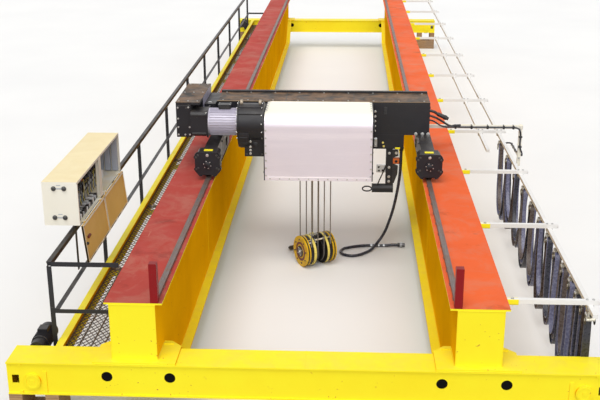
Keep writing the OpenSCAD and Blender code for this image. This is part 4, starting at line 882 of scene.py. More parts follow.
def cover_trim():
    p = Piece()
    for x, s in ((COVER_X0, 1), (COVER_X1, -1)):
        line = cover_outline(-0.0025)
        path = [(x + s * 0.0135, y, z) for y, z in line]
        p.sweep(path, [(-0.0015, -0.0125), (0.0015, -0.0125), (0.0015, 0.0125), (-0.0015, 0.0125)], 0, up=(1, 0, 0),
                smooth=False)
        xe = x - s * 0.0065
        for k in range(7):
            z = COVER_Z0 + 0.06 + k * 0.09
            p.bolt((x + s * 0.0135, COVER_Y0 - 0.004, z), (0, -1, 0), 0.010, mi=1)
        for k in range(5):
            y = COVER_Y0 + 0.20 + k * 0.10
            p.bolt((x + s * 0.0135, y, COVER_Z1 + 0.004), (0, 0, 1), 0.010, mi=1)
        for y, z in ((-5.66, 1.24), (-5.66, 1.66), (-5.20, 1.24), (-5.20, 1.86), (-5.60, 1.84), (-5.415, 1.42)):
            p.bolt((xe - s * 0.0060, y, z), (-s, 0, 0), 0.014, mi=2)
        p.lathe((xe - s * 0.0058, -5.415, 1.720), (-s, 0, 0), [(0, 0.115), (0.014, 0.112), (0.020, 0.095)], 32, 3)
        rim(p, (xe - s * 0.0195, -5.415, 1.720), (-s, 0, 0), 0.075, 6, 0.012, 2)
    p.box((COVER_X0 + 0.001, COVER_Y0 - 0.0052, COVER_Z0 + 0.001), (COVER_X1 - 0.001, COVER_Y0 - 0.0004, COVER_Z0 + 0.042),
          0, 0.001)
    n = 11
    for k in range(n):
        x = COVER_X0 + 0.06 + (COVER_X1 - COVER_X0 - 0.12) * k / (n - 1)
        p.bolt((x, COVER_Y0 - 0.0052, COVER_Z0 + 0.022), (0, -1, 0), 0.008, mi=1)
    p.box((COVER_X0, COVER_Y1 - 0.040, COVER_Z1), (COVER_X1, COVER_Y1 - 0.002, COVER_Z1 + 0.004), 0, 0.001)
    p.done("cover_trim", [MATS["cover_aluminium"], BOLT, DARK_BOLT, BLACK], "trolley", "cover_aluminium", sharp=30)


def beam_fittings():
    p = Piece()
    x0, x1 = -1.250, 1.310
    p.box((x0 + 0.012, BEAM_Y0 + 0.012, BEAM_Z1), (x1 - 0.012, BEAM_Y1 - 0.012, BEAM_Z1 + 0.004), 4, 0.0015)
    p.box((x0 + 0.002, BEAM_Y1 - 0.050, BEAM_Z1 - 0.001), (x1 - 0.002, BEAM_Y1 - 0.004, BEAM_Z1 + 0.026), 0, 0.004)
    # a thin pale brown strip along the near edge of the beam's top
    p.box((x0 + 0.002, BEAM_Y0 + 0.002, BEAM_Z1 - 0.001), (x1 - 0.002, BEAM_Y0 + 0.010, BEAM_Z1 + 0.006), 7, 0.002)
    for x in (-0.42, 0.40):
        p.box((x - 0.004, BEAM_Y0 + 0.012, BEAM_Z1 + 0.0035), (x + 0.004, BEAM_Y1 - 0.052, BEAM_Z1 + 0.0062), 0, 0.001)
    for k in range(9):
        x = x0 + 0.07 + k * (x1 - x0 - 0.14) / 8
        for y in (BEAM_Y0 + 0.045, BEAM_Y1 - 0.075):
            p.bolt((x, y, BEAM_Z1 + 0.004), (0, 0, 1), 0.010, mi=1)
    # front face right of the drum cover: one plate, its cable slot and three screws by the carriage
    p.box((0.640, BEAM_Y0 - 0.004, BEAM_Z0 + 0.004), (1.304, BEAM_Y0, BEAM_Z1 - 0.016), 0, 0.002)
    p.box((0.640, BEAM_Y0 - 0.004, PANEL_Z0 + 0.006), (PANEL_X1 - 0.006, BEAM_Y0, BEAM_Z0 + 0.004), 0, 0.002)
    p.box((0.760, BEAM_Y0 - 0.009, 1.806), (0.798, BEAM_Y0 - 0.003, 1.896), 2, 0.004)
    for x in (1.149, 1.228, 1.296):
        p.bolt((x, BEAM_Y0 - 0.004, 1.566), (0, -1, 0), 0.020, mi=1)
    for x, z in ((0.757, 1.453), (0.768, 1.409)):
        p.bolt((x, BEAM_Y0 - 0.004, z), (0, -1, 0), 0.012, mi=5)
    # black end of the cover with its row of screws, and the small zinc catch below them
    for z in (1.60, 1.66, 1.72, 1.78, 1.84):
        p.bolt((0.656, BEAM_Y0 - 0.004, z), (0, -1, 0), 0.014, mi=1)
    p.box((0.650, BEAM_Y0 - 0.022, 1.402), (0.690, BEAM_Y0 - 0.004, 1.515), 6, 0.005)
    p.bolt((0.670, BEAM_Y0 - 0.022, 1.490), (0, -1, 0), 0.012, mi=1)
    p.bolt((0.670, BEAM_Y0 - 0.022, 1.428), (0, -1, 0), 0.012, mi=1)
    p.box((0.905, BEAM_Y0 - 0.012, PANEL_Z0 - 0.0005), (0.965, BEAM_Y0 + 0.030, PANEL_Z0 + 0.020), 3, 0.003)
    # back face: two long doors
    for a, b in ((-1.20, -0.02), (0.02, 1.26)):
        p.box((a, BEAM_Y1, BEAM_Z0 + 0.035), (b, BEAM_Y1 + 0.005, BEAM_Z1 - 0.035), 0, 0.002)
        for x in (a + 0.12, (a + b) / 2, b - 0.12):
            p.bolt((x, BEAM_Y1 + 0.005, BEAM_Z0 + 0.070), (0, 1, 0), 0.010, mi=1)
            p.bolt((x, BEAM_Y1 + 0.005, BEAM_Z1 - 0.070), (0, 1, 0), 0.010, mi=1)
    for z in (1.62, 1.72, 1.82):
        p.lathe((x1, -4.700, z) if z < 1.7 else (x1, -4.800, z), (1, 0, 0),
                [(0, 0.022), (0.010, 0.022), (0.012, 0.017), (0.030, 0.015)], 16, 2)
    p.done("beam_fittings", [BLACK, BOLT, PLASTIC_BLACK, MATS["yellow_paint"], DUSTY, PALE_YELLOW, SHEET_ZINC, PALE_BROWN_EDGE],
           "trolley", "black_paint")


def switch_box():
    p = Piece()
    y0 = BOX_Y0
    p.box((BOX_X0 - 0.004, y0 - 0.006, BOX_Z1 - 0.001), (BOX_X1 + 0.004, -4.598, BOX_Z1 + 0.005), 1, 0.002)
    p.box((BOX_X0 + 0.002, y0 - 0.0065, BOX_Z0B + 0.006), (BRAKE_X0 - 0.002, y0, BOX_Z1 - 0.034), 0, 0.003)
    p.box((BRAKE_X0 - 0.001, y0 - 0.0065, BOX_Z1 - 0.029), (BOX_X1 - 0.001, y0, BOX_Z1 - 0.001), 0, 0.003)
    spots = [(BOX_X0 + 0.022, z) for z in (1.67, 1.76, 1.86, 1.99)] + [(BRAKE_X0 - 0.022, z) for z in (1.67, 1.76)]
    spots += [(BOX_X0 + 0.10, 1.67), (BRAKE_X0 - 0.03, 1.995)]
    for x, z in spots:
        p.bolt((x, y0 - 0.0065, z), (0, -1, 0), 0.010, mi=2)
    for x in (BOX_X0 + 0.03, (BOX_X0 + BOX_X1) / 2, BOX_X1 - 0.03):
        for y in (-5.55, -5.10, -4.65):
            p.bolt((x, y, BOX_Z1 + 0.005), (0, 0, 1), 0.010, mi=2)
    p.bolt((-1.318, -5.200, 1.950), (0, 0, 1), 0.026, mi=2)
    # pale edge of the switch box's side towards the beam
    p.box((BOX_X1, -5.318, 1.70), (BOX_X1 + 0.004, -4.602, BOX_Z1 - 0.002), 3, 0.001)
    # brake: four long screws and the hand-release lever
    for y in (-5.625, -5.415):
        for z in (1.706, 1.914):
            p.rod((BRAKE_X0 + 0.01, y, z), (MOTOR_X0 - 0.016, y, z), 0.004, 8, 2)
    for z in (1.70, 1.92):
        p.box((-1.47, MOTOR_Y - 0.1545, z - 0.012), (-1.302, MOTOR_Y - 0.146, z + 0.012), 4, 0.004)
    for y, z in ((-5.650, 1.680), (-5.650, 1.940), (-5.390, 1.680), (-5.390, 1.940)):
        p.bolt((MOTOR_X0 - 0.014, y, z), (-1, 0, 0), 0.012, mi=2)
    p.done("switch_box_fittings", [BLACK, DUSTY, BOLT, LAVENDER, PLASTIC_BLACK], "trolley", "black_paint")


def motor_fittings():
    p = Piece()
    rim(p, (GEAR_X0 - 0.016, MOTOR_Y, MOTOR_Z), (-1, 0, 0), 0.148, 8, 0.012, 1, 0.3)
    p.box((-1.17, -5.560, 1.962), (-1.03, -5.460, 2.012), 0, 0.006)
    p.box((-1.175, -5.565, 2.010), (-1.025, -5.455, 2.020), 0, 0.003)
    for x in (-1.165, -1.035):
        for y in (-5.553, -5.467):
            p.bolt((x, y, 2.020), (0, 0, 1), 0.006, mi=1)
    p.done("motor_box", [PLASTIC_BLACK, BOLT], "trolley", "black_paint")


def gearbox_fittings():
    p = Piece()
    for x, s in ((GEAR_X0, -1), (GEAR_X1 - 0.018, -1)):
        rim(p, (x, MOTOR_Y, MOTOR_Z), (s, 0, 0), 0.2235, 14, 0.011, 1, 0.12)
    for k in range(9):
        a = math.radians(170 + k * 22)
        y, z = MOTOR_Y + 0.20 * math.cos(a), MOTOR_Z - 0.100 + 0.20 * math.sin(a)
        p.box((GEAR_X0 + 0.022, y - 0.006, z - 0.006), (-0.825, y + 0.006, z + 0.006), 0, 0.003)
    for z in (1.455, 1.495, 1.535, 1.60):
        p.bolt((-0.800, MOTOR_Y - 0.105, z), (0, -1, 0), 0.014, mi=1)
    for x in (-0.845, -0.665):
        for z in (1.445, 1.63):
            p.bolt((x, MOTOR_Y - 0.105, z), (0, -1, 0), 0.012, mi=2)
    p.lathe((-0.745, MOTOR_Y - 0.105, 1.560), (0, -1, 0), [(0, 0.036), (0.006, 0.036), (0.010, 0.026)], 20, 0)
    for x in (GEAR_X0 + 0.030, GEAR_X1 - 0.060):
        p.lathe((x - 0.002, MOTOR_Y, MOTOR_Z + 0.229), (1, 0, 0),
                [(0, 0.0365), (0.028, 0.0365), (0.028, 0.0150), (0, 0.0150)], 20, 3)
    for a in (-0.9, -0.45, 0.45, 0.9):
        y, z = MOTOR_Y + 0.2205 * math.sin(a), MOTOR_Z + 0.2205 * math.cos(a)
        p.box((GEAR_X0 + 0.018, y - 0.007, z - 0.012), (GEAR_X1 - 0.018, y + 0.007, z + 0.003), 0, 0.003)
    p.done("gearbox_fittings", [BLACK, BOLT, DARK_BOLT, CAST_EAR], "trolley", "black_paint")


def drive_fittings():
    for side in (-1, 1):
        p = Piece()
        p.move = Matrix.Translation((side * RAIL_X, 0, 0))
        z0, z1 = CARRIAGE_Z0, CARRIAGE_Z0 + 0.285
        zc = (z0 + z1) / 2
        p.lathe((0, DRIVE_Y0 - 0.016, zc), (0, -1, 0), [(0, 0.036), (0.006, 0.036), (0.010, 0.030), (0.010, 0.0)], 28, 0)
        rim(p, (0, DRIVE_Y0 - 0.016, zc), (0, -1, 0), 0.041, 6, 0.007, 1)
        for x, z in ((-0.105, z0 + 0.10), (0.105, z0 + 0.10), (-0.105, z1 - 0.035), (0.105, z1 - 0.035)):
            p.bolt((x, DRIVE_Y0, z), (0, -1, 0), 0.012, mi=2)
        p.bolt((0, DRIVE_Y0, z1 - 0.035), (0, -1, 0), 0.016, mi=1)
        for x in (-0.128, 0.128):
            for z in (z0 + 0.085, z1 - 0.060):
                p.bolt((x, DRIVE_Y0 + 0.004, z), (0, -1, 0), 0.014, mi=2)
        p.box((-0.050, DRIVE_Y0 + 0.100, z1 - 0.0125), (0.050, DRIVE_Y0 + 0.155, z1 - 0.0065), 3, 0.001)
        p.box((-0.046, DRIVE_Y0 + 0.060, z1 - 0.0125), (0.046, DRIVE_Y0 + 0.066, z1 - 0.010), 0, 0.001)
        for k in range(4):
            p.box((-0.120, DRIVE_Y0 + 0.045 + k * 0.045, z0 + 0.10), (-0.1285, DRIVE_Y0 + 0.052 + k * 0.045, z1 - 0.05), 0,
                  0.001)
            p.box((0.120, DRIVE_Y0 + 0.045 + k * 0.045, z0 + 0.10), (0.1285, DRIVE_Y0 + 0.052 + k * 0.045, z1 - 0.05), 0,
                  0.001)
        # carriage: end plate bolts and a stiffener at the rear wheel
        for x in (-0.0755, 0.0755):
            s = 1 if x > 0 else -1
            for y in (-5.70, -5.30, -5.00, -4.64):
                p.bolt((x, y, CARRIAGE_Z1 - 0.04), (s, 0, 0), 0.014, mi=2)
            p.lathe((x * 0.994, WHEEL_YS[1], 1.3803), (s, 0, 0), [(0, 0.055), (0.008, 0.055), (0.012, 0.045)], 28, 0)
            rim(p, (x * 1.1, WHEEL_YS[1], 1.3803), (s, 0, 0), 0.040, 4, 0.010, 2, 0.78)
        p.done("drive_fittings_%s" % ("left" if side < 0 else "right"), [BLACK, BOLT, DARK_BOLT, MATS["yellow_paint"]],
               "trolley", "black_paint")


def guide_fittings():
    p = Piece()
    x0, x1, z = 0.800, 0.880, PANEL_Z0
    p.box((0.8805, -5.0655, z - 0.2005), (0.9665, -5.0145, z - 0.1235), 1, 0.006)
    p.lathe((0.925, -5.066, z - 0.162), (0, -1, 0), [(0, 0.016), (0.012, 0.016), (0.015, 0.010)], 16, 2)
    p.box((0.689, -5.0515, z - 0.313), (0.801, -5.0285, z - 0.216), 3, 0.003)
    for x, q in ((0.715, z - 0.245), (0.765, z - 0.285), (0.720, z - 0.290)):
        p.lathe((x, -5.0516, q), (0, -1, 0), [(0, 0.013), (0.0012, 0.012)], 14, 2)
    for q in (z - 0.06, z - 0.24, z - 0.36, z - 0.42):
        p.bolt(((x0 + x1) / 2, -5.070, q), (0, -1, 0), 0.016, mi=4)
    low = z - 0.516
    p.lathe((0.637, -5.040, low), (1, 0, 0), [(0, 0.056), (0.010, 0.0565), (0.012, 0.0552)], 32, 0)
    p.lathe((0.884, -5.040, low), (1, 0, 0), [(0, 0.0552), (0.002, 0.0565), (0.011, 0.056)], 32, 0)
    p.rod((0.70, -5.070, low + 0.045), (0.805, -5.070, z - 0.217), 0.008, 10, 0)
    # cast lever that carries the switch, and the arm down to the damper
    p.plate([(0.879, 1.352), (0.945, 1.352), (0.950, 1.275), (0.905, 1.262), (0.905, 1.165), (0.950, 1.150), (0.946, 1.05),
             (0.905, 0.930), (0.879, 0.915)], 1, -5.055, -5.025, 0)
    p.lathe((0.925, -5.055, 1.315), (0, -1, 0), [(0, 0.018), (0.008, 0.018), (0.008, 0.0)], 18, 4)
    p.lathe((0.920, -5.055, 1.090), (0, -1, 0), [(0, 0.022), (0.012, 0.020), (0.012, 0.0)], 18, 0)
    p.done("lever_fittings", [PLASTIC_BLACK, ORANGE, BLACK, SHEET_ZINC, BOLT], "trolley", "black_paint")


# hook block and ropes
BLOCK_AT, BLOCK_YAW = Vector((-0.050, -5.415, 0.191)), math.radians(30)
BLOCK_HALF, BLOCK_R, AXLE_CAP_R = 0.200, 0.190, 0.070
SHEAVES = (-0.1275, -0.0425, 0.0425, 0.1275)
ROPE_SIDE, ROPE_R, ROPE_TOP = 0.150, 0.007, 1.355


def along_block(p):
    """Distance from the block's middle along its axle."""
    x = p.math("MULTIPLY", p.math("SUBTRACT", p.axis(0), BLOCK_AT.x), math.cos(BLOCK_YAW))
    y = p.math("MULTIPLY", p.math("SUBTRACT", p.axis(1), BLOCK_AT.y), math.sin(BLOCK_YAW))
    return p.math("ABSOLUTE", p.math("ADD", x, y))


def block_paint():
    """Golden end covers, pale guard rings and cream tie bars, all greasy and scuffed."""
    p = Paint("block_yellow")
    t = along_block(p)
    c = p.mix(p.ramp(p.noise(7, 5, 0.6), 0.35, 0.7), (0.80, 0.52, 0.012), (0.62, 0.36, 0.010))
    c = p.mix(p.ramp(t, 0.127, 0.129, 1, 0), c, p.mix(p.noise(9), (0.90, 0.76, 0.20), (0.74, 0.60, 0.12)))
    for lo, hi in ((0.060, 0.074), (0.166, 0.183)):
        band = p.math("MULTIPLY", p.ramp(t, lo, lo + 0.002), p.ramp(t, hi, hi + 0.002, 1, 0))
        c = p.mix(band, c, (0.012, 0.011, 0.010))
    c = p.mix(p.ramp(t, 0.060, 0.062, 1, 0), c, (0.80, 0.74, 0.56))
    grease = p.ramp(p.noise(11, 6, 0.7, warp=0.6), 0.54, 0.66, 0, 0.75)
    c = p.mix(grease, c, (0.10, 0.06, 0.03))
    p.bump(p.noise(200, 2), 0.15, 0.0006)
    return p.done(c, p.ramp(p.noise(9), 0.3, 0.7, 0.34, 0.52), Specular_IOR_Level=0.3)


def block_fittings():
    p = Piece()
    p.move = Matrix.Translation(BLOCK_AT) @ Matrix.Rotation(BLOCK_YAW, 4, "Z")
    for s in (-1, 1):
        face = s * BLOCK_HALF
        p.lathe((face, 0, 0), (s, 0, 0), [(0, 0.118), (0.0020, 0.117), (0.0020, 0.089), (0, 0.088)], 40, 0)
        p.lathe((face + s * 0.0079, 0, 0), (s, 0, 0), [(0, AXLE_CAP_R), (0.003, AXLE_CAP_R - 0.003), (0.003, 0)], 32, 1)
        rim(p, (face + s * 0.0108, 0, 0), (s, 0, 0), 0.048, 4, 0.010, 2, 0.6)
        rim(p, (face, 0, 0), (s, 0, 0), 0.145, 8, 0.012, 3, 0.2)
        # black rope guard between the cover and the ring
        p.lathe((0, 0, 0), (s, 0, 0), [(0.1056, 0.170), (0.1056, 0.180), (0.1495, 0.180), (0.1495, 0.170), (0.1056, 0.170)],
                40, 6)
        p.lathe((face + s * 0.0104, 0, 0), (s, 0, 0), [(0, 0.016), (0.006, 0.014), (0.014, 0.006)], 12, 2)
        # nuts of the tie bars on the guard rings, and spacers between ring and cover
        for a in (60, 120, 240, 300):
            y, z = 0.1717 * math.cos(math.radians(a)), 0.1717 * math.sin(math.radians(a))
            p.bolt((s * 0.151, y, z), (-s, 0, 0), 0.018, mi=2)
            p.bolt((s * 0.104, y, z), (s, 0, 0), 0.018, mi=2)
        for a in (60, 120):
            y, z = 0.1717 * math.cos(math.radians(a)), 0.1717 * math.sin(math.radians(a))
            p.bolt((s * 0.066, y, z), (-s, 0, 0), 0.020, mi=2)
    # pale distance bar near the top and a yellow strap over the middle sheaves
    p.box((-0.150, -0.128, 0.128), (-0.052, -0.106, 0.140), 4, 0.003)
    p.box((-0.030, 0.086, 0.164), (0.030, 0.106, 0.172), 5, 0.003)
    p.rod((-0.066, 0.096, 0.158), (0.066, 0.096, 0.158), 0.006, 10, 2)
    p.rod((-0.104, -0.117, 0.125), (-0.151, -0.117, 0.125), 0.006, 10, 2)
    p.done("block_fittings", [DARK_RED, OILY, BOLT, DARK_BOLT, PLASTIC_WHITE, PALE_YELLOW, BLACK], "hook_block", "yellow_paint")


def stranded(p, path, r, lay, lobes=6, mi=0):
    """A laid rope: a lobed section that turns as it goes."""
    n = lobes * 3
    turn, last = 0.0, None
    rings = []
    for k, at in enumerate(path):
        a, b = path[max(k - 1, 0)], path[min(k + 1, len(path) - 1)]
        d = (b - a).normalized()
        u = Vector((1, 0, 0)) if abs(d.x) < 0.8 else Vector((0, 1, 0))
        x = (u - d * u.dot(d)).normalized()
        y = d.cross(x)
        if last is not None:
            turn += (at - last).length / lay * 2 * math.pi
        last = at
        rings.append([at + (x * math.cos(t) + y * math.sin(t)) * (r * (1 - 0.16 * (i % 3 != 1)))
                      for i in range(n) for t in [2 * math.pi * i / n + turn]])
    faces = [(k * n + i, k * n + (i + 1) % n, (k + 1) * n + (i + 1) % n, (k + 1) * n + i)
             for k in range(len(rings) - 1) for i in range(n)]
    ends = [tuple(reversed(range(n))), tuple((len(rings) - 1) * n + i for i in range(n))]
    p.add([v for ring in rings for v in ring], faces + ends, mi, True)


def wire_ropes():
    spin = Matrix.Translation(BLOCK_AT) @ Matrix.Rotation(BLOCK_YAW, 4, "Z")
    p = Piece()
    fall = ROPE_TOP - BLOCK_AT.z
    down = [(ROPE_SIDE, fall * (1 - k / 150.0)) for k in range(151)]
    under = [(ROPE_SIDE * math.cos(a), -ROPE_SIDE * math.sin(a)) for a in [math.pi * k / 60 for k in range(1, 60)]]
    line = down + under + [(-y, z) for y, z in reversed(down)]
    for x in SHEAVES:
        stranded(p, [spin @ Vector((x, y, z)) for y, z in line], ROPE_R, 0.085)
    o = p.done("wire_ropes", MATS["rope_wire"], None, "rope_wire", replaces=("hoist_ropes",), sharp=80)
    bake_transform(o)


# cabinet
CAB_X0, CAB_X1, CAB_Y0, CAB_Y1, CAB_Z0, CAB_Z1, SHEET = -2.460, -2.130, -8.250, -6.530, 1.515, 1.935, 0.004
HINGE_X, HINGE_Z, DOOR_LEAN, DOOR_T, DOOR_H, DOOR_L, DOOR_GAP = -2.115, 1.519, 5.5, 0.018, 0.380, 0.851, 0.006
BACK_X = CAB_X0 + SHEET


def terminals(p, x0, x1, y0, y1, z0, z1, pitch):
    """A row of terminal blocks, black and white by turns, with a screw in each."""
    n = int((y1 - y0) / pitch)
    for k in range(n):
        y = y0 + k * pitch
        mi = (0, 0, 1, 0, 2, 0, 1, 1)[(k * 5 + k // 7) % 8]
        p.box((x0, y, z0), (x1, y + pitch * 0.9, z1), mi, 0.0015)
        if k % 2 == 0:
            p.lathe((x1, y + pitch * 0.45, (z0 + z1) / 2), (1, 0, 0), [(0, 0.004), (0.0015, 0.0035)], 6, 3)


def cabinet_gear():
    p = Piece()
    front = BACK_X + 0.003
    p.box((BACK_X, CAB_Y0 + 0.012, CAB_Z0 + 0.012), (front, CAB_Y1 - 0.012, CAB_Z1 - 0.012), 4, 0.001)
    for y in (CAB_Y0 + 0.03, -7.60, -7.20, CAB_Y1 - 0.03):
        for z in (CAB_Z0 + 0.03, CAB_Z1 - 0.03):
            p.bolt((front, y, z), (1, 0, 0), 0.010, mi=3)
    for z0, z1, d in ((CAB_Z1 - 0.085, CAB_Z1 - 0.035, 0.055), (CAB_Z0 + 0.018, CAB_Z0 + 0.048, 0.050)):
        p.box((front, CAB_Y0 + 0.04, z0), (front + d, CAB_Y1 - 0.04, z1), 5, 0.003)
        for k in range(54):
            y = CAB_Y0 + 0.055 + k * 0.030
            p.box((front + d, y, z0 + 0.008), (front + d + 0.0006, y + 0.010, z1 - 0.008), 0)
    for i in range(6):
        y, z0, z1 = CAB_Y0 + 0.090 + 0.255 * i, CAB_Z0 + 0.100, CAB_Z0 + 0.245
        if i in (1, 4):
            p.box((front, y, z0 - 0.01), (front + 0.105, y + 0.180, z1 + 0.015), 2, 0.006)
            for k in range(10):
                p.box((front + 0.02, y + 0.012 + k * 0.017, z1 + 0.0145), (front + 0.098, y + 0.016 + k * 0.017, z1 + 0.020), 0)
            p.box((front + 0.105, y + 0.020, z0 + 0.03), (front + 0.1075, y + 0.160, z1 - 0.01), 0, 0.001)
            p.box((front + 0.1072, y + 0.050, z1 - 0.050), (front + 0.109, y + 0.130, z1 - 0.022), 5, 0.001)
            continue
        for j in range(3):
            a, b = y + j * 0.061, y + j * 0.061 + 0.056
            p.box((front, a, z0), (front + 0.078, b, z1), 0, 0.004)
            p.box((front + 0.078, a + 0.006, z0 + 0.035), (front + 0.104, b - 0.006, z1 - 0.035), 0, 0.004)
            p.box((front + 0.103, a + 0.012, z0 + 0.055), (front + 0.1055, b - 0.012, z0 + 0.080), 1 if j % 2 else 6, 0.001)
            for k in range(3):
                for z in (z0 + 0.014, z1 - 0.014):
                    p.lathe((front + 0.078, a + 0.012 + k * 0.016, z), (1, 0, 0), [(0, 0.0055), (0.002, 0.005)], 8, 3)
        for j in range(8):
            a = y + 0.012 + j * 0.021
            p.tube([(front + 0.050, a, z1 - 0.004), (front + 0.075, a, z1 + 0.030), (front + 0.045, a + 0.01, CAB_Z1 - 0.085)],
                   0.0028, 6, 0 if j % 3 else 7)
    terminals(p, front, front + 0.050, CAB_Y0 + 0.06, CAB_Y1 - 0.06, CAB_Z0 + 0.052, CAB_Z0 + 0.092, 0.020)
    # rail of terminals on the cabinet's floor, just behind the door, and the small breaker in the far half
    z = CAB_Z0 + SHEET
    p.box((-2.325, CAB_Y0 + 0.10, z), (-2.290, -7.45, z + 0.006), 3, 0.001)
    for k in range(15):
        y = CAB_Y0 + 0.115 + k * 0.044
        p.box((-2.345, y, z + 0.006), (-2.270, y + 0.030, z + 0.046), (0, 1, 0, 0, 1)[k % 5], 0.003)
        p.box((-2.325, y + 0.008, z + 0.0455), (-2.290, y + 0.022, z + 0.0475), 1 if k % 2 else 3, 0.001)
    # a second row by the door, contactors that stand behind it, and the loose wires between them
    for k in range(16):
        y = CAB_Y0 + 0.070 + k * 0.046
        p.box((-2.232, y, z), (-2.160, y + 0.034, z + (0.052, 0.036, 0.044)[k % 3]), (0, 0, 1, 0, 2)[k % 5], 0.003)
        p.box((-2.222, y + 0.008, z + 0.036), (-2.186, y + 0.024, z + 0.0535), 3 if k % 2 else 1, 0.001)
    for k in range(11):
        y = -7.700 + k * 0.084 + (0.050 if k > 3 else 0)
        high = (0.150, 0.115, 0.135)[k % 3]
        p.box((-2.425, y, z), (-2.330, y + 0.070, z + high), 0, 0.005)
        p.box((-2.410, y + 0.012, z + high - 0.002), (-2.350, y + 0.058, z + high + 0.022), 0 if k % 4 else 6, 0.004)
        p.box((-2.329, y + 0.010, z + 0.030), (-2.3275, y + 0.060, z + 0.060), 1, 0.001)
        for j in range(3):
            a = y + 0.015 + 0.020 * j
            near = max(CAB_Y0 + 0.09, a - 0.16 - 0.05 * j)
            p.tube([(-2.332, a, z + high - 0.03), (-2.300, a - 0.01, z + high + 0.01 * j), (-2.270, (a + near) / 2, z + 0.10),
                    (-2.245, near, z + 0.062), (-2.236, near, z + 0.030)], 0.0032, 6, (0, 7, 0, 4)[(j + k) % 4])
    p.box((-2.330, -6.860, z), (-2.255, -6.790, z + 0.085), 1, 0.004)
    p.box((-2.312, -6.850, z + 0.084), (-2.272, -6.800, z + 0.098), 6, 0.003)
    # folded sheets at the far end
    for k in range(4):
        x = -2.445 + k * 0.078
        p.box((x, CAB_Y1 - 0.040, CAB_Z0 + 0.010), (x + 0.060, CAB_Y1 - 0.008, CAB_Z1 - 0.008), 4, 0.002)
    p.done("cabinet_gear", [PLASTIC_BLACK, PLASTIC_WHITE, PLASTIC_GREY, BOLT, PANEL_BLUE, DUCT_BLUE, ORANGE, PALE_YELLOW],
           "bridge", "cabinet_gear", replaces=("cabinet_fittings",), sharp=30)


def cabinet_trim():
    p = Piece()
    for x, z in ((-2.350, 1.873), (-2.254, 1.873), (-2.358, 1.592), (-2.262, 1.592)):
        at = (x, CAB_Y0, z)
        p.lathe(at, (0, -1, 0), [(0, 0.023), (0.006, 0.023), (0.007, 0.019), (0.016, 0.019), (0.021, 0.013), (0.021, 0.008)],
                12, 1)
        p.rod(at, (x, CAB_Y0 - 0.0235, z), 0.008, 10, 2)
    for z in (1.873, 1.592):
        p.box((-2.332, CAB_Y0 - 0.002, z - 0.008), (-2.274, CAB_Y0, z + 0.008), 3, 0.001)
        p.box((-2.325, CAB_Y0 - 0.0015, z + 0.026), (-2.285, CAB_Y0, z + 0.036), 3, 0.0005)
    # folded lips round the opening and the seam of the lid
    w = 0.018
    for y0, y1 in ((CAB_Y0, (CAB_Y0 + CAB_Y1) / 2 - 0.020), ((CAB_Y0 + CAB_Y1) / 2 + 0.020, CAB_Y1)):
        a, b = y0 + SHEET, y1 - SHEET
        p.box((CAB_X1 - 0.003, y0, CAB_Z1 - SHEET - w), (CAB_X1, y1, CAB_Z1 - SHEET), 0, 0.0005)
        p.box((CAB_X1 - 0.003, a, CAB_Z0 + SHEET), (CAB_X1, a + w, CAB_Z1 - SHEET - w), 0, 0.0005)
        p.box((CAB_X1 - 0.003, b - w, CAB_Z0 + SHEET), (CAB_X1, b, CAB_Z1 - SHEET - w), 0, 0.0005)
    p.box((CAB_X0 + 0.002, CAB_Y0 + 0.002, CAB_Z1), (CAB_X1 - 0.002, CAB_Y1 - 0.002, CAB_Z1 + 0.0018), 4, 0.0008)
    for y in (-8.0, -6.78):
        for x in (-2.40, -2.22):
            p.bolt((x, y, CAB_Z0), (0, 0, -1), 0.016, mi=5)
    p.done("cabinet_trim", [MATS["cream_paint"], DARK_BOLT, PLASTIC_BLACK, PLASTIC_GREY, CREAM_TOP, BOLT], "bridge",
           "cream_paint", sharp=30)


def door_trim():
    """Folded lips, the lower lip's slots and the catch on the near door, in each door's own hinge frame."""
    for name, y0 in (("near", CAB_Y0 + DOOR_GAP), ("far", CAB_Y0 + 2 * DOOR_GAP + DOOR_L)):
        p = Piece()
        p.move = Matrix.Translation((HINGE_X, y0, HINGE_Z)) @ Matrix.Rotation(math.radians(-DOOR_LEAN), 4, "Y")
        h, lip, t = DOOR_T / 2, 0.020, 0.0018
        for a, b, z0, z1 in ((0, DOOR_L, -DOOR_H, -DOOR_H + lip), (0, DOOR_L, -0.010 - lip, -0.010),
                             (0, lip, -DOOR_H + lip, -0.010 - lip), (DOOR_L - lip, DOOR_L, -DOOR_H + lip, -0.010 - lip)):
            p.box((h - t, a + 0.0005, z0), (h, b - 0.0005, z1), 0, 0.0006)
        for a, b in ((0.05, 0.27), (0.36, 0.50), (0.60, 0.80)):
            p.box((h - 0.0004, a, -DOOR_H + 0.006), (h + 0.0008, b, -DOOR_H + 0.015), 1, 0.0003)
        for a in (0.0, DOOR_L - 0.0012):
            p.box((-h + 0.001, a, -DOOR_H + 0.001), (h - 0.0005, a + 0.0012, -0.011), 3)
        for a in (0.02, DOOR_L / 2, DOOR_L - 0.02):
            p.bolt((h, a, -0.020), (1, 0, 0), 0.008, 0.0028, mi=2)
        if name == "near":
            p.box((-h + 0.002, 0.120, -0.180), (-h + 0.022, 0.200, -0.155), 4, 0.004)
            p.lathe((-h + 0.002, 0.085, -0.215), (1, 0, 0), [(0, 0.016), (0.012, 0.015), (0.018, 0.008)], 14, 1)
        p.done("door_trim_" + name, [MATS["cream_paint"], PLASTIC_BLACK, BOLT, PLASTIC_WHITE, DARK_RED], "door_" + name,
               "door_primer", sharp=30)


# walkway
GRATE_X0, GRATE_X1, NOTCH_X, GRATE_Z0, GRATE_T, GRATE_END, BAYS = -2.178, -1.638, -1.729, 0.558, 0.030, 9.060, 9
MESH, MESH_SLOPE = 0.044, math.radians(57)


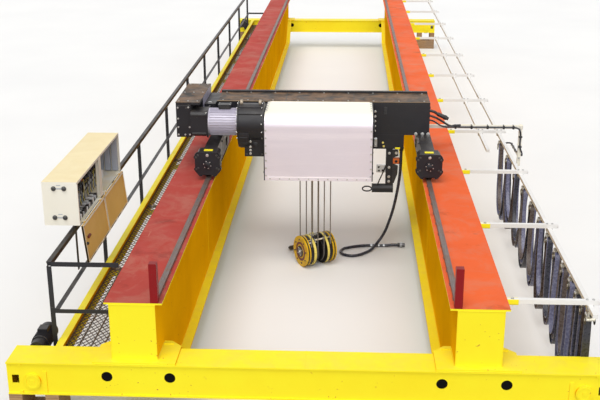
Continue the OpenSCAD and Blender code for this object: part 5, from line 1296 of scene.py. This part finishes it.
def crossings(x0, x1, y0, y1, at, slope):
    """Where a line at a slope through (0, at) enters and leaves a rectangle."""
    found = []
    k = math.tan(slope)
    for x in (x0, x1):
        y = at + k * (x - x0)
        if y0 <= y <= y1:
            found.append((x, y))
    for y in (y0, y1):
        x = x0 + (y - at) / k
        if x0 < x < x1:
            found.append((x, y))
    return sorted(found)[:: max(len(found) - 1, 1)] if len(found) > 1 else []


def grating():
    """Expanded metal in angle frames, nine panels, open right through."""
    p = Piece()
    panel = 2 * GRATE_END / BAYS
    top = GRATE_Z0 + GRATE_T
    for i in range(BAYS):
        x0, x1 = GRATE_X0, NOTCH_X if i in (0, BAYS - 1) else GRATE_X1
        y0, y1 = -GRATE_END + i * panel + 0.003, -GRATE_END + (i + 1) * panel - 0.003
        for a, b in (((x0, y0), (x0 + 0.005, y1)), ((x1 - 0.005, y0), (x1, y1)),
                     ((x0 + 0.005, y0), (x1 - 0.005, y0 + 0.005)), ((x0 + 0.005, y1 - 0.005), (x1 - 0.005, y1))):
            p.box((*a, GRATE_Z0), (*b, top), 0, 0.0008)
        for k in (1, 2, 3):
            x = x0 + (x1 - x0) * k / 4
            p.box((x - 0.003, y0 + 0.005, GRATE_Z0), (x + 0.003, y1 - 0.005, top - 0.008), 0)
        run = (x1 - x0 - 0.01) * math.tan(MESH_SLOPE)
        step = MESH / math.cos(MESH_SLOPE)
        for s, slope in enumerate((MESH_SLOPE, -MESH_SLOPE)):
            at = y0 + 0.005 - (run if s == 0 else 0)
            while at < y1 + (0 if s == 0 else run):
                ends = crossings(x0 + 0.005, x1 - 0.005, y0 + 0.005, y1 - 0.005, at, slope)
                if len(ends) == 2 and abs(ends[0][0] - ends[1][0]) > 0.01:
                    z = top - 0.004 - 0.003 * s
                    p.sweep([(x, y, z) for x, y in ends], [(-0.003, -0.003), (0.003, -0.003), (0.003, 0.003), (-0.003, 0.003)],
                            1, smooth=False)
                at += step
    p.done("expanded_grating", [MATS["grating_steel"], MESH_STEEL], "bridge", "grating_steel",
           replaces=("walkway_grating",), sharp=30)


def walkway_fittings():
    p = Piece()
    for i in range(10):
        y = -8.960 + 1.925 * i
        for s in (-0.032, 0.032):
            for z in (0.600, 0.665):
                p.bolt((CHANNEL_X - 0.0105, y + s, z), (-1, 0, 0), 0.016, mi=0)
        for z in (1.015, 1.455):
            p.bolt((-2.2425, y + 0.021, z - 0.021), (-1, 0, 0), 0.012, mi=0)
    for i in range(1, BAYS):
        y = -GRATE_END + i * 2 * GRATE_END / BAYS
        for x in (GRATE_X0 + 0.08, GRATE_X1 - 0.16):
            for s in (-0.030, 0.030):
                p.box((x - 0.018, y + s - 0.012, GRATE_Z0 + GRATE_T - 0.001), (x + 0.018, y + s + 0.012, GRATE_Z0 + GRATE_T + 0.004),
                      0, 0.001)
                p.bolt((x, y + s, GRATE_Z0 + GRATE_T + 0.004), (0, 0, 1), 0.010, mi=0)
    for y in (-8.960, 8.365):
        p.box((-2.2422, y - 0.0006, 1.411), (-2.1995, y + 0.0426, 1.4552), 2, 0.001)
    for y in (-6.0, 0.0, 6.0):
        p.box((CHANNEL_X - 0.0012, y - 0.004, 0.558), (CHANNEL_X, y + 0.004, 0.702), 1, 0.0004)
    p.done("walkway_fittings", [BOLT, MATS["yellow_paint"], BLACK], "bridge", "grating_steel")


# girders, rails and end trucks
WEB_IN, WEB_OUT, FOOT_Z, TOP_Z = 1.246, 1.634, 0.272, 1.235
RAKE_Y0, RAKE_Y1, SEAT_Z0, SEAT_Z1 = 8.300, 9.060, 0.710, 0.730
SEAT_X0, SEAT_X1, SEAT_IN, SEAT_CUT = 1.086, 1.790, 8.985, 0.095
RAIL_HALF, RAIL_END = 0.025, 9.275
TRUCK_HOLES, HOLE_Z, WHEEL_X, CAP_Z = (1.140, 1.675), 0.587, 2.313, 0.535
FILLET = 0.007


def fillet(p, points, side, up, mi=0):
    section = [(0, 0), (side, 0), (0, up)]
    p.sweep(points, section if side * up > 0 else section[::-1], mi, smooth=False)


def girder_seams():
    for side in (-1, 1):
        p = Piece()
        for web, out in ((WEB_IN, -1), (WEB_OUT, 1)):
            x, out = side * web, side * out
            foot = [(x, -RAKE_Y1, SEAT_Z1 + 0.012), (x, -RAKE_Y0, FOOT_Z), (x, RAKE_Y0, FOOT_Z), (x, RAKE_Y1, SEAT_Z1 + 0.012)]
            fillet(p, foot, out * FILLET, FILLET)
            fillet(p, [(x, -END, TOP_Z), (x, END, TOP_Z)], out * FILLET, -FILLET)
            for y in (-6.2, -3.1, 0.0, 3.1, 6.2):
                lo, hi = sorted((x, x + out * 0.0018))
                p.box((lo, y - 0.005, FOOT_Z + FILLET), (hi, y + 0.005, TOP_Z - FILLET), 0, 0.0005)
        for end in (-1, 1):
            y = end * (END + 0.0001)
            for x in (WEB_IN - 0.001, WEB_OUT - 0.005):
                lo, hi = sorted((side * x, side * (x + 0.006)))
                p.box((lo, min(y, y + end * 0.002), SEAT_Z1), (hi, max(y, y + end * 0.002), TOP_Z), 0, 0.0006)
            for a, b in ((SEAT_Z1, SEAT_Z1 + 0.007), (TOP_Z - 0.006, TOP_Z)):
                lo, hi = sorted((side * WEB_IN, side * WEB_OUT))
                p.box((lo, min(y, y + end * 0.004), a), (hi, max(y, y + end * 0.004), b), 0, 0.001)
        p.done("girder_seams_" + ("left" if side < 0 else "right"), MATS["yellow_paint"], "bridge", "yellow_paint")


def rail_welds():
    """Stitch welds of 60 mm every 300 mm along each foot of the rails, and the joints of the rail."""
    p = Piece()
    for side in (-1, 1):
        for edge in (-1, 1):
            x = side * RAIL_X + edge * RAIL_HALF
            for k in range(62):
                y = -9.180 + k * 0.300 + (0.150 if edge > 0 else 0)
                if y + 0.06 < RAIL_END:
                    fillet(p, [(x, y, DECK), (x, y + 0.060, DECK)], edge * 0.006, 0.006)
        for y in (-3.05, 2.95):
            x = side * RAIL_X
            p.box((x - RAIL_HALF - 0.0006, y - 0.0015, DECK), (x + RAIL_HALF + 0.0006, y + 0.0015, RAIL_TOP + 0.0004), 1)
    p.done("rail_welds", [WELD, DARK_BOLT], "bridge", "rail_steel")


def seats():
    """Flat foot plates of the girders on the end trucks, with their inner corners cut off, welded all round."""
    p = Piece()
    cut = SEAT_CUT
    for sx in (-1, 1):
        for sy in (-1, 1):
            outline = [(SEAT_X0, HALF - 0.006), (SEAT_X0, SEAT_IN + cut), (SEAT_X0 + cut, SEAT_IN), (SEAT_X1 - cut, SEAT_IN),
                       (SEAT_X1, SEAT_IN + cut), (SEAT_X1, HALF - 0.006)]
            pts = [(sx * x, sy * y) for x, y in outline]
            p.plate(pts if sx * sy < 0 else pts[::-1], 2, SEAT_Z0, SEAT_Z1, 0)
            for x, out in ((WEB_IN, -1), (WEB_OUT, 1)):
                ends = sorted((sy * END, sy * RAKE_Y1))
                fillet(p, [(sx * x, y, SEAT_Z1) for y in ends], sx * out * 0.009, 0.009)
            lo, hi = sorted((sx * SEAT_X0, sx * SEAT_X1))
            y = sy * (HALF - 0.006)
            p.box((lo, min(y, y + sy * 0.005), SEAT_Z0), (hi, max(y, y + sy * 0.005), SEAT_Z0 + 0.008), 0, 0.002)
    p.done("girder_seats", MATS["yellow_paint"], "bridge", "yellow_paint", replaces=("truck_seats",), bevel=0.002)


def truck_fittings():
    p = Piece()
    for sy in (-1, 1):
        out = (0, sy, 0)
        for side in (-1, 1):
            cap = (side * WHEEL_X, sy * (HALF + 0.006), CAP_Z)
            p.lathe(cap, out, [(0, 0.062), (0.0025, 0.061), (0.0025, 0.050), (0, 0.049)], 36, 0)
            p.lathe(cap, out, [(0, 0.020), (0.002, 0.019), (0.002, 0)], 20, 0)
            for x in TRUCK_HOLES:
                # painted shade: a near-black sleeve stands for the unlit inside of the box section behind each hole
                p.lathe((side * x, sy * (TRUCK_Y - 0.134), HOLE_Z), out, [(0, 0.0535), (0.268, 0.0535)], 28, 1)
            for z in (0.43, 0.69):
                p.bolt((side * (WHEEL_X + 0.10), sy * (HALF - 0.016), z), out, 0.016, mi=0)
    for sy in (-1, 1):
        y = sy * -9.250
        p.box((-0.004, y - 0.161, 0.7095), (0.004, y + 0.161, 0.7115), 0, 0.0006)
    p.done("truck_fittings", [MATS["yellow_paint"], DARK_INSIDE], "bridge", "yellow_paint")


def drive_motor_fins():
    """Cooling fins, fan cowl and terminal lid of the two travel motors."""
    p = Piece()
    x, z, r = -WHEEL_X - 0.045, 0.670, 0.075
    for s in (-1, 1):
        y0 = s * -8.974
        for k in range(11):
            p.lathe((x, y0 + s * (0.012 + k * 0.018), z), (0, s, 0), [(0, r), (0, r + 0.010), (0.004, r + 0.010), (0.004, r)], 32, 0)
        p.lathe((x, y0 + s * 0.215, z), (0, s, 0), [(0, r), (0, r + 0.008), (0.055, r + 0.008), (0.062, r)], 32, 0)
        rim(p, (-WHEEL_X, s * -9.084, CAP_Z), (0, -s, 0), 0.056, 6, 0.010, 1)
        lid = sorted((s * -8.900, s * -8.808))
        p.box((x - 0.043, lid[0], z + 0.100), (x + 0.043, lid[1], z + 0.106), 0, 0.003)
    p.done("travel_motor_fins", [BLACK, BOLT], "bridge", "black_paint")
# carried-over CAD nodes
EDGE = {
    "girder_left": 0.003, "girder_right": 0.003, "top_flanges": 0.0025, "trolley_rails": 0.003,
    "rail_end_stops": 0.004, "end_trucks": 0.003, "truck_seats": 0.003, "packing_timbers": 0.006,
    "walkway_beam": 0.002, "walkway_brackets": 0.003, "handrail_posts": 0.0015, "handrail_rails": 0.0015,
    "cabinet_case": 0.002, "cabinet_brackets": 0.003, "festoon_stubs": 0.003, "festoon_arms": 0.006,
    "trolley_carriages": 0.006, "drive_housings": 0.008, "cross_beam": 0.010, "control_box": 0.008,
    "drum_cover": 0.002, "cover_ends": 0.003, "brake_cover": 0.012, "tow_arm": 0.006, "rope_guide": 0.003,
}


def dress_nodes():
    special = {"block_drums": block_paint(), "block_sheaves": GREASED}
    for name, o in NODES.items():
        paint = special.get(name, MATS[SLOT_OF[name]])
        for s in o.material_slots:
            s.material = paint
        if not o.material_slots:
            o.data.materials.append(paint)
        if name in EDGE:
            add_bevel(o, EDGE[name], 2)


make_camera()
make_light()
floor = Piece()
floor.add([(-90, -60, 0), (90, -60, 0), (90, 160, 0), (-90, 160, 0)], [(0, 1, 2, 3)])
floor_object = floor.done("floor", floor_material())
floor_object.location.z = -0.0005
pendant()
tow_lead()
dress_nodes()
festoon_loops()
carrier_fittings()
arm_fittings()
cover_trim()
beam_fittings()
switch_box()
motor_fittings()
gearbox_fittings()
drive_fittings()
guide_fittings()
block_fittings()
wire_ropes()
cabinet_gear()
cabinet_trim()
door_trim()
grating()
walkway_fittings()
girder_seams()
rail_welds()
seats()
truck_fittings()
drive_motor_fins()
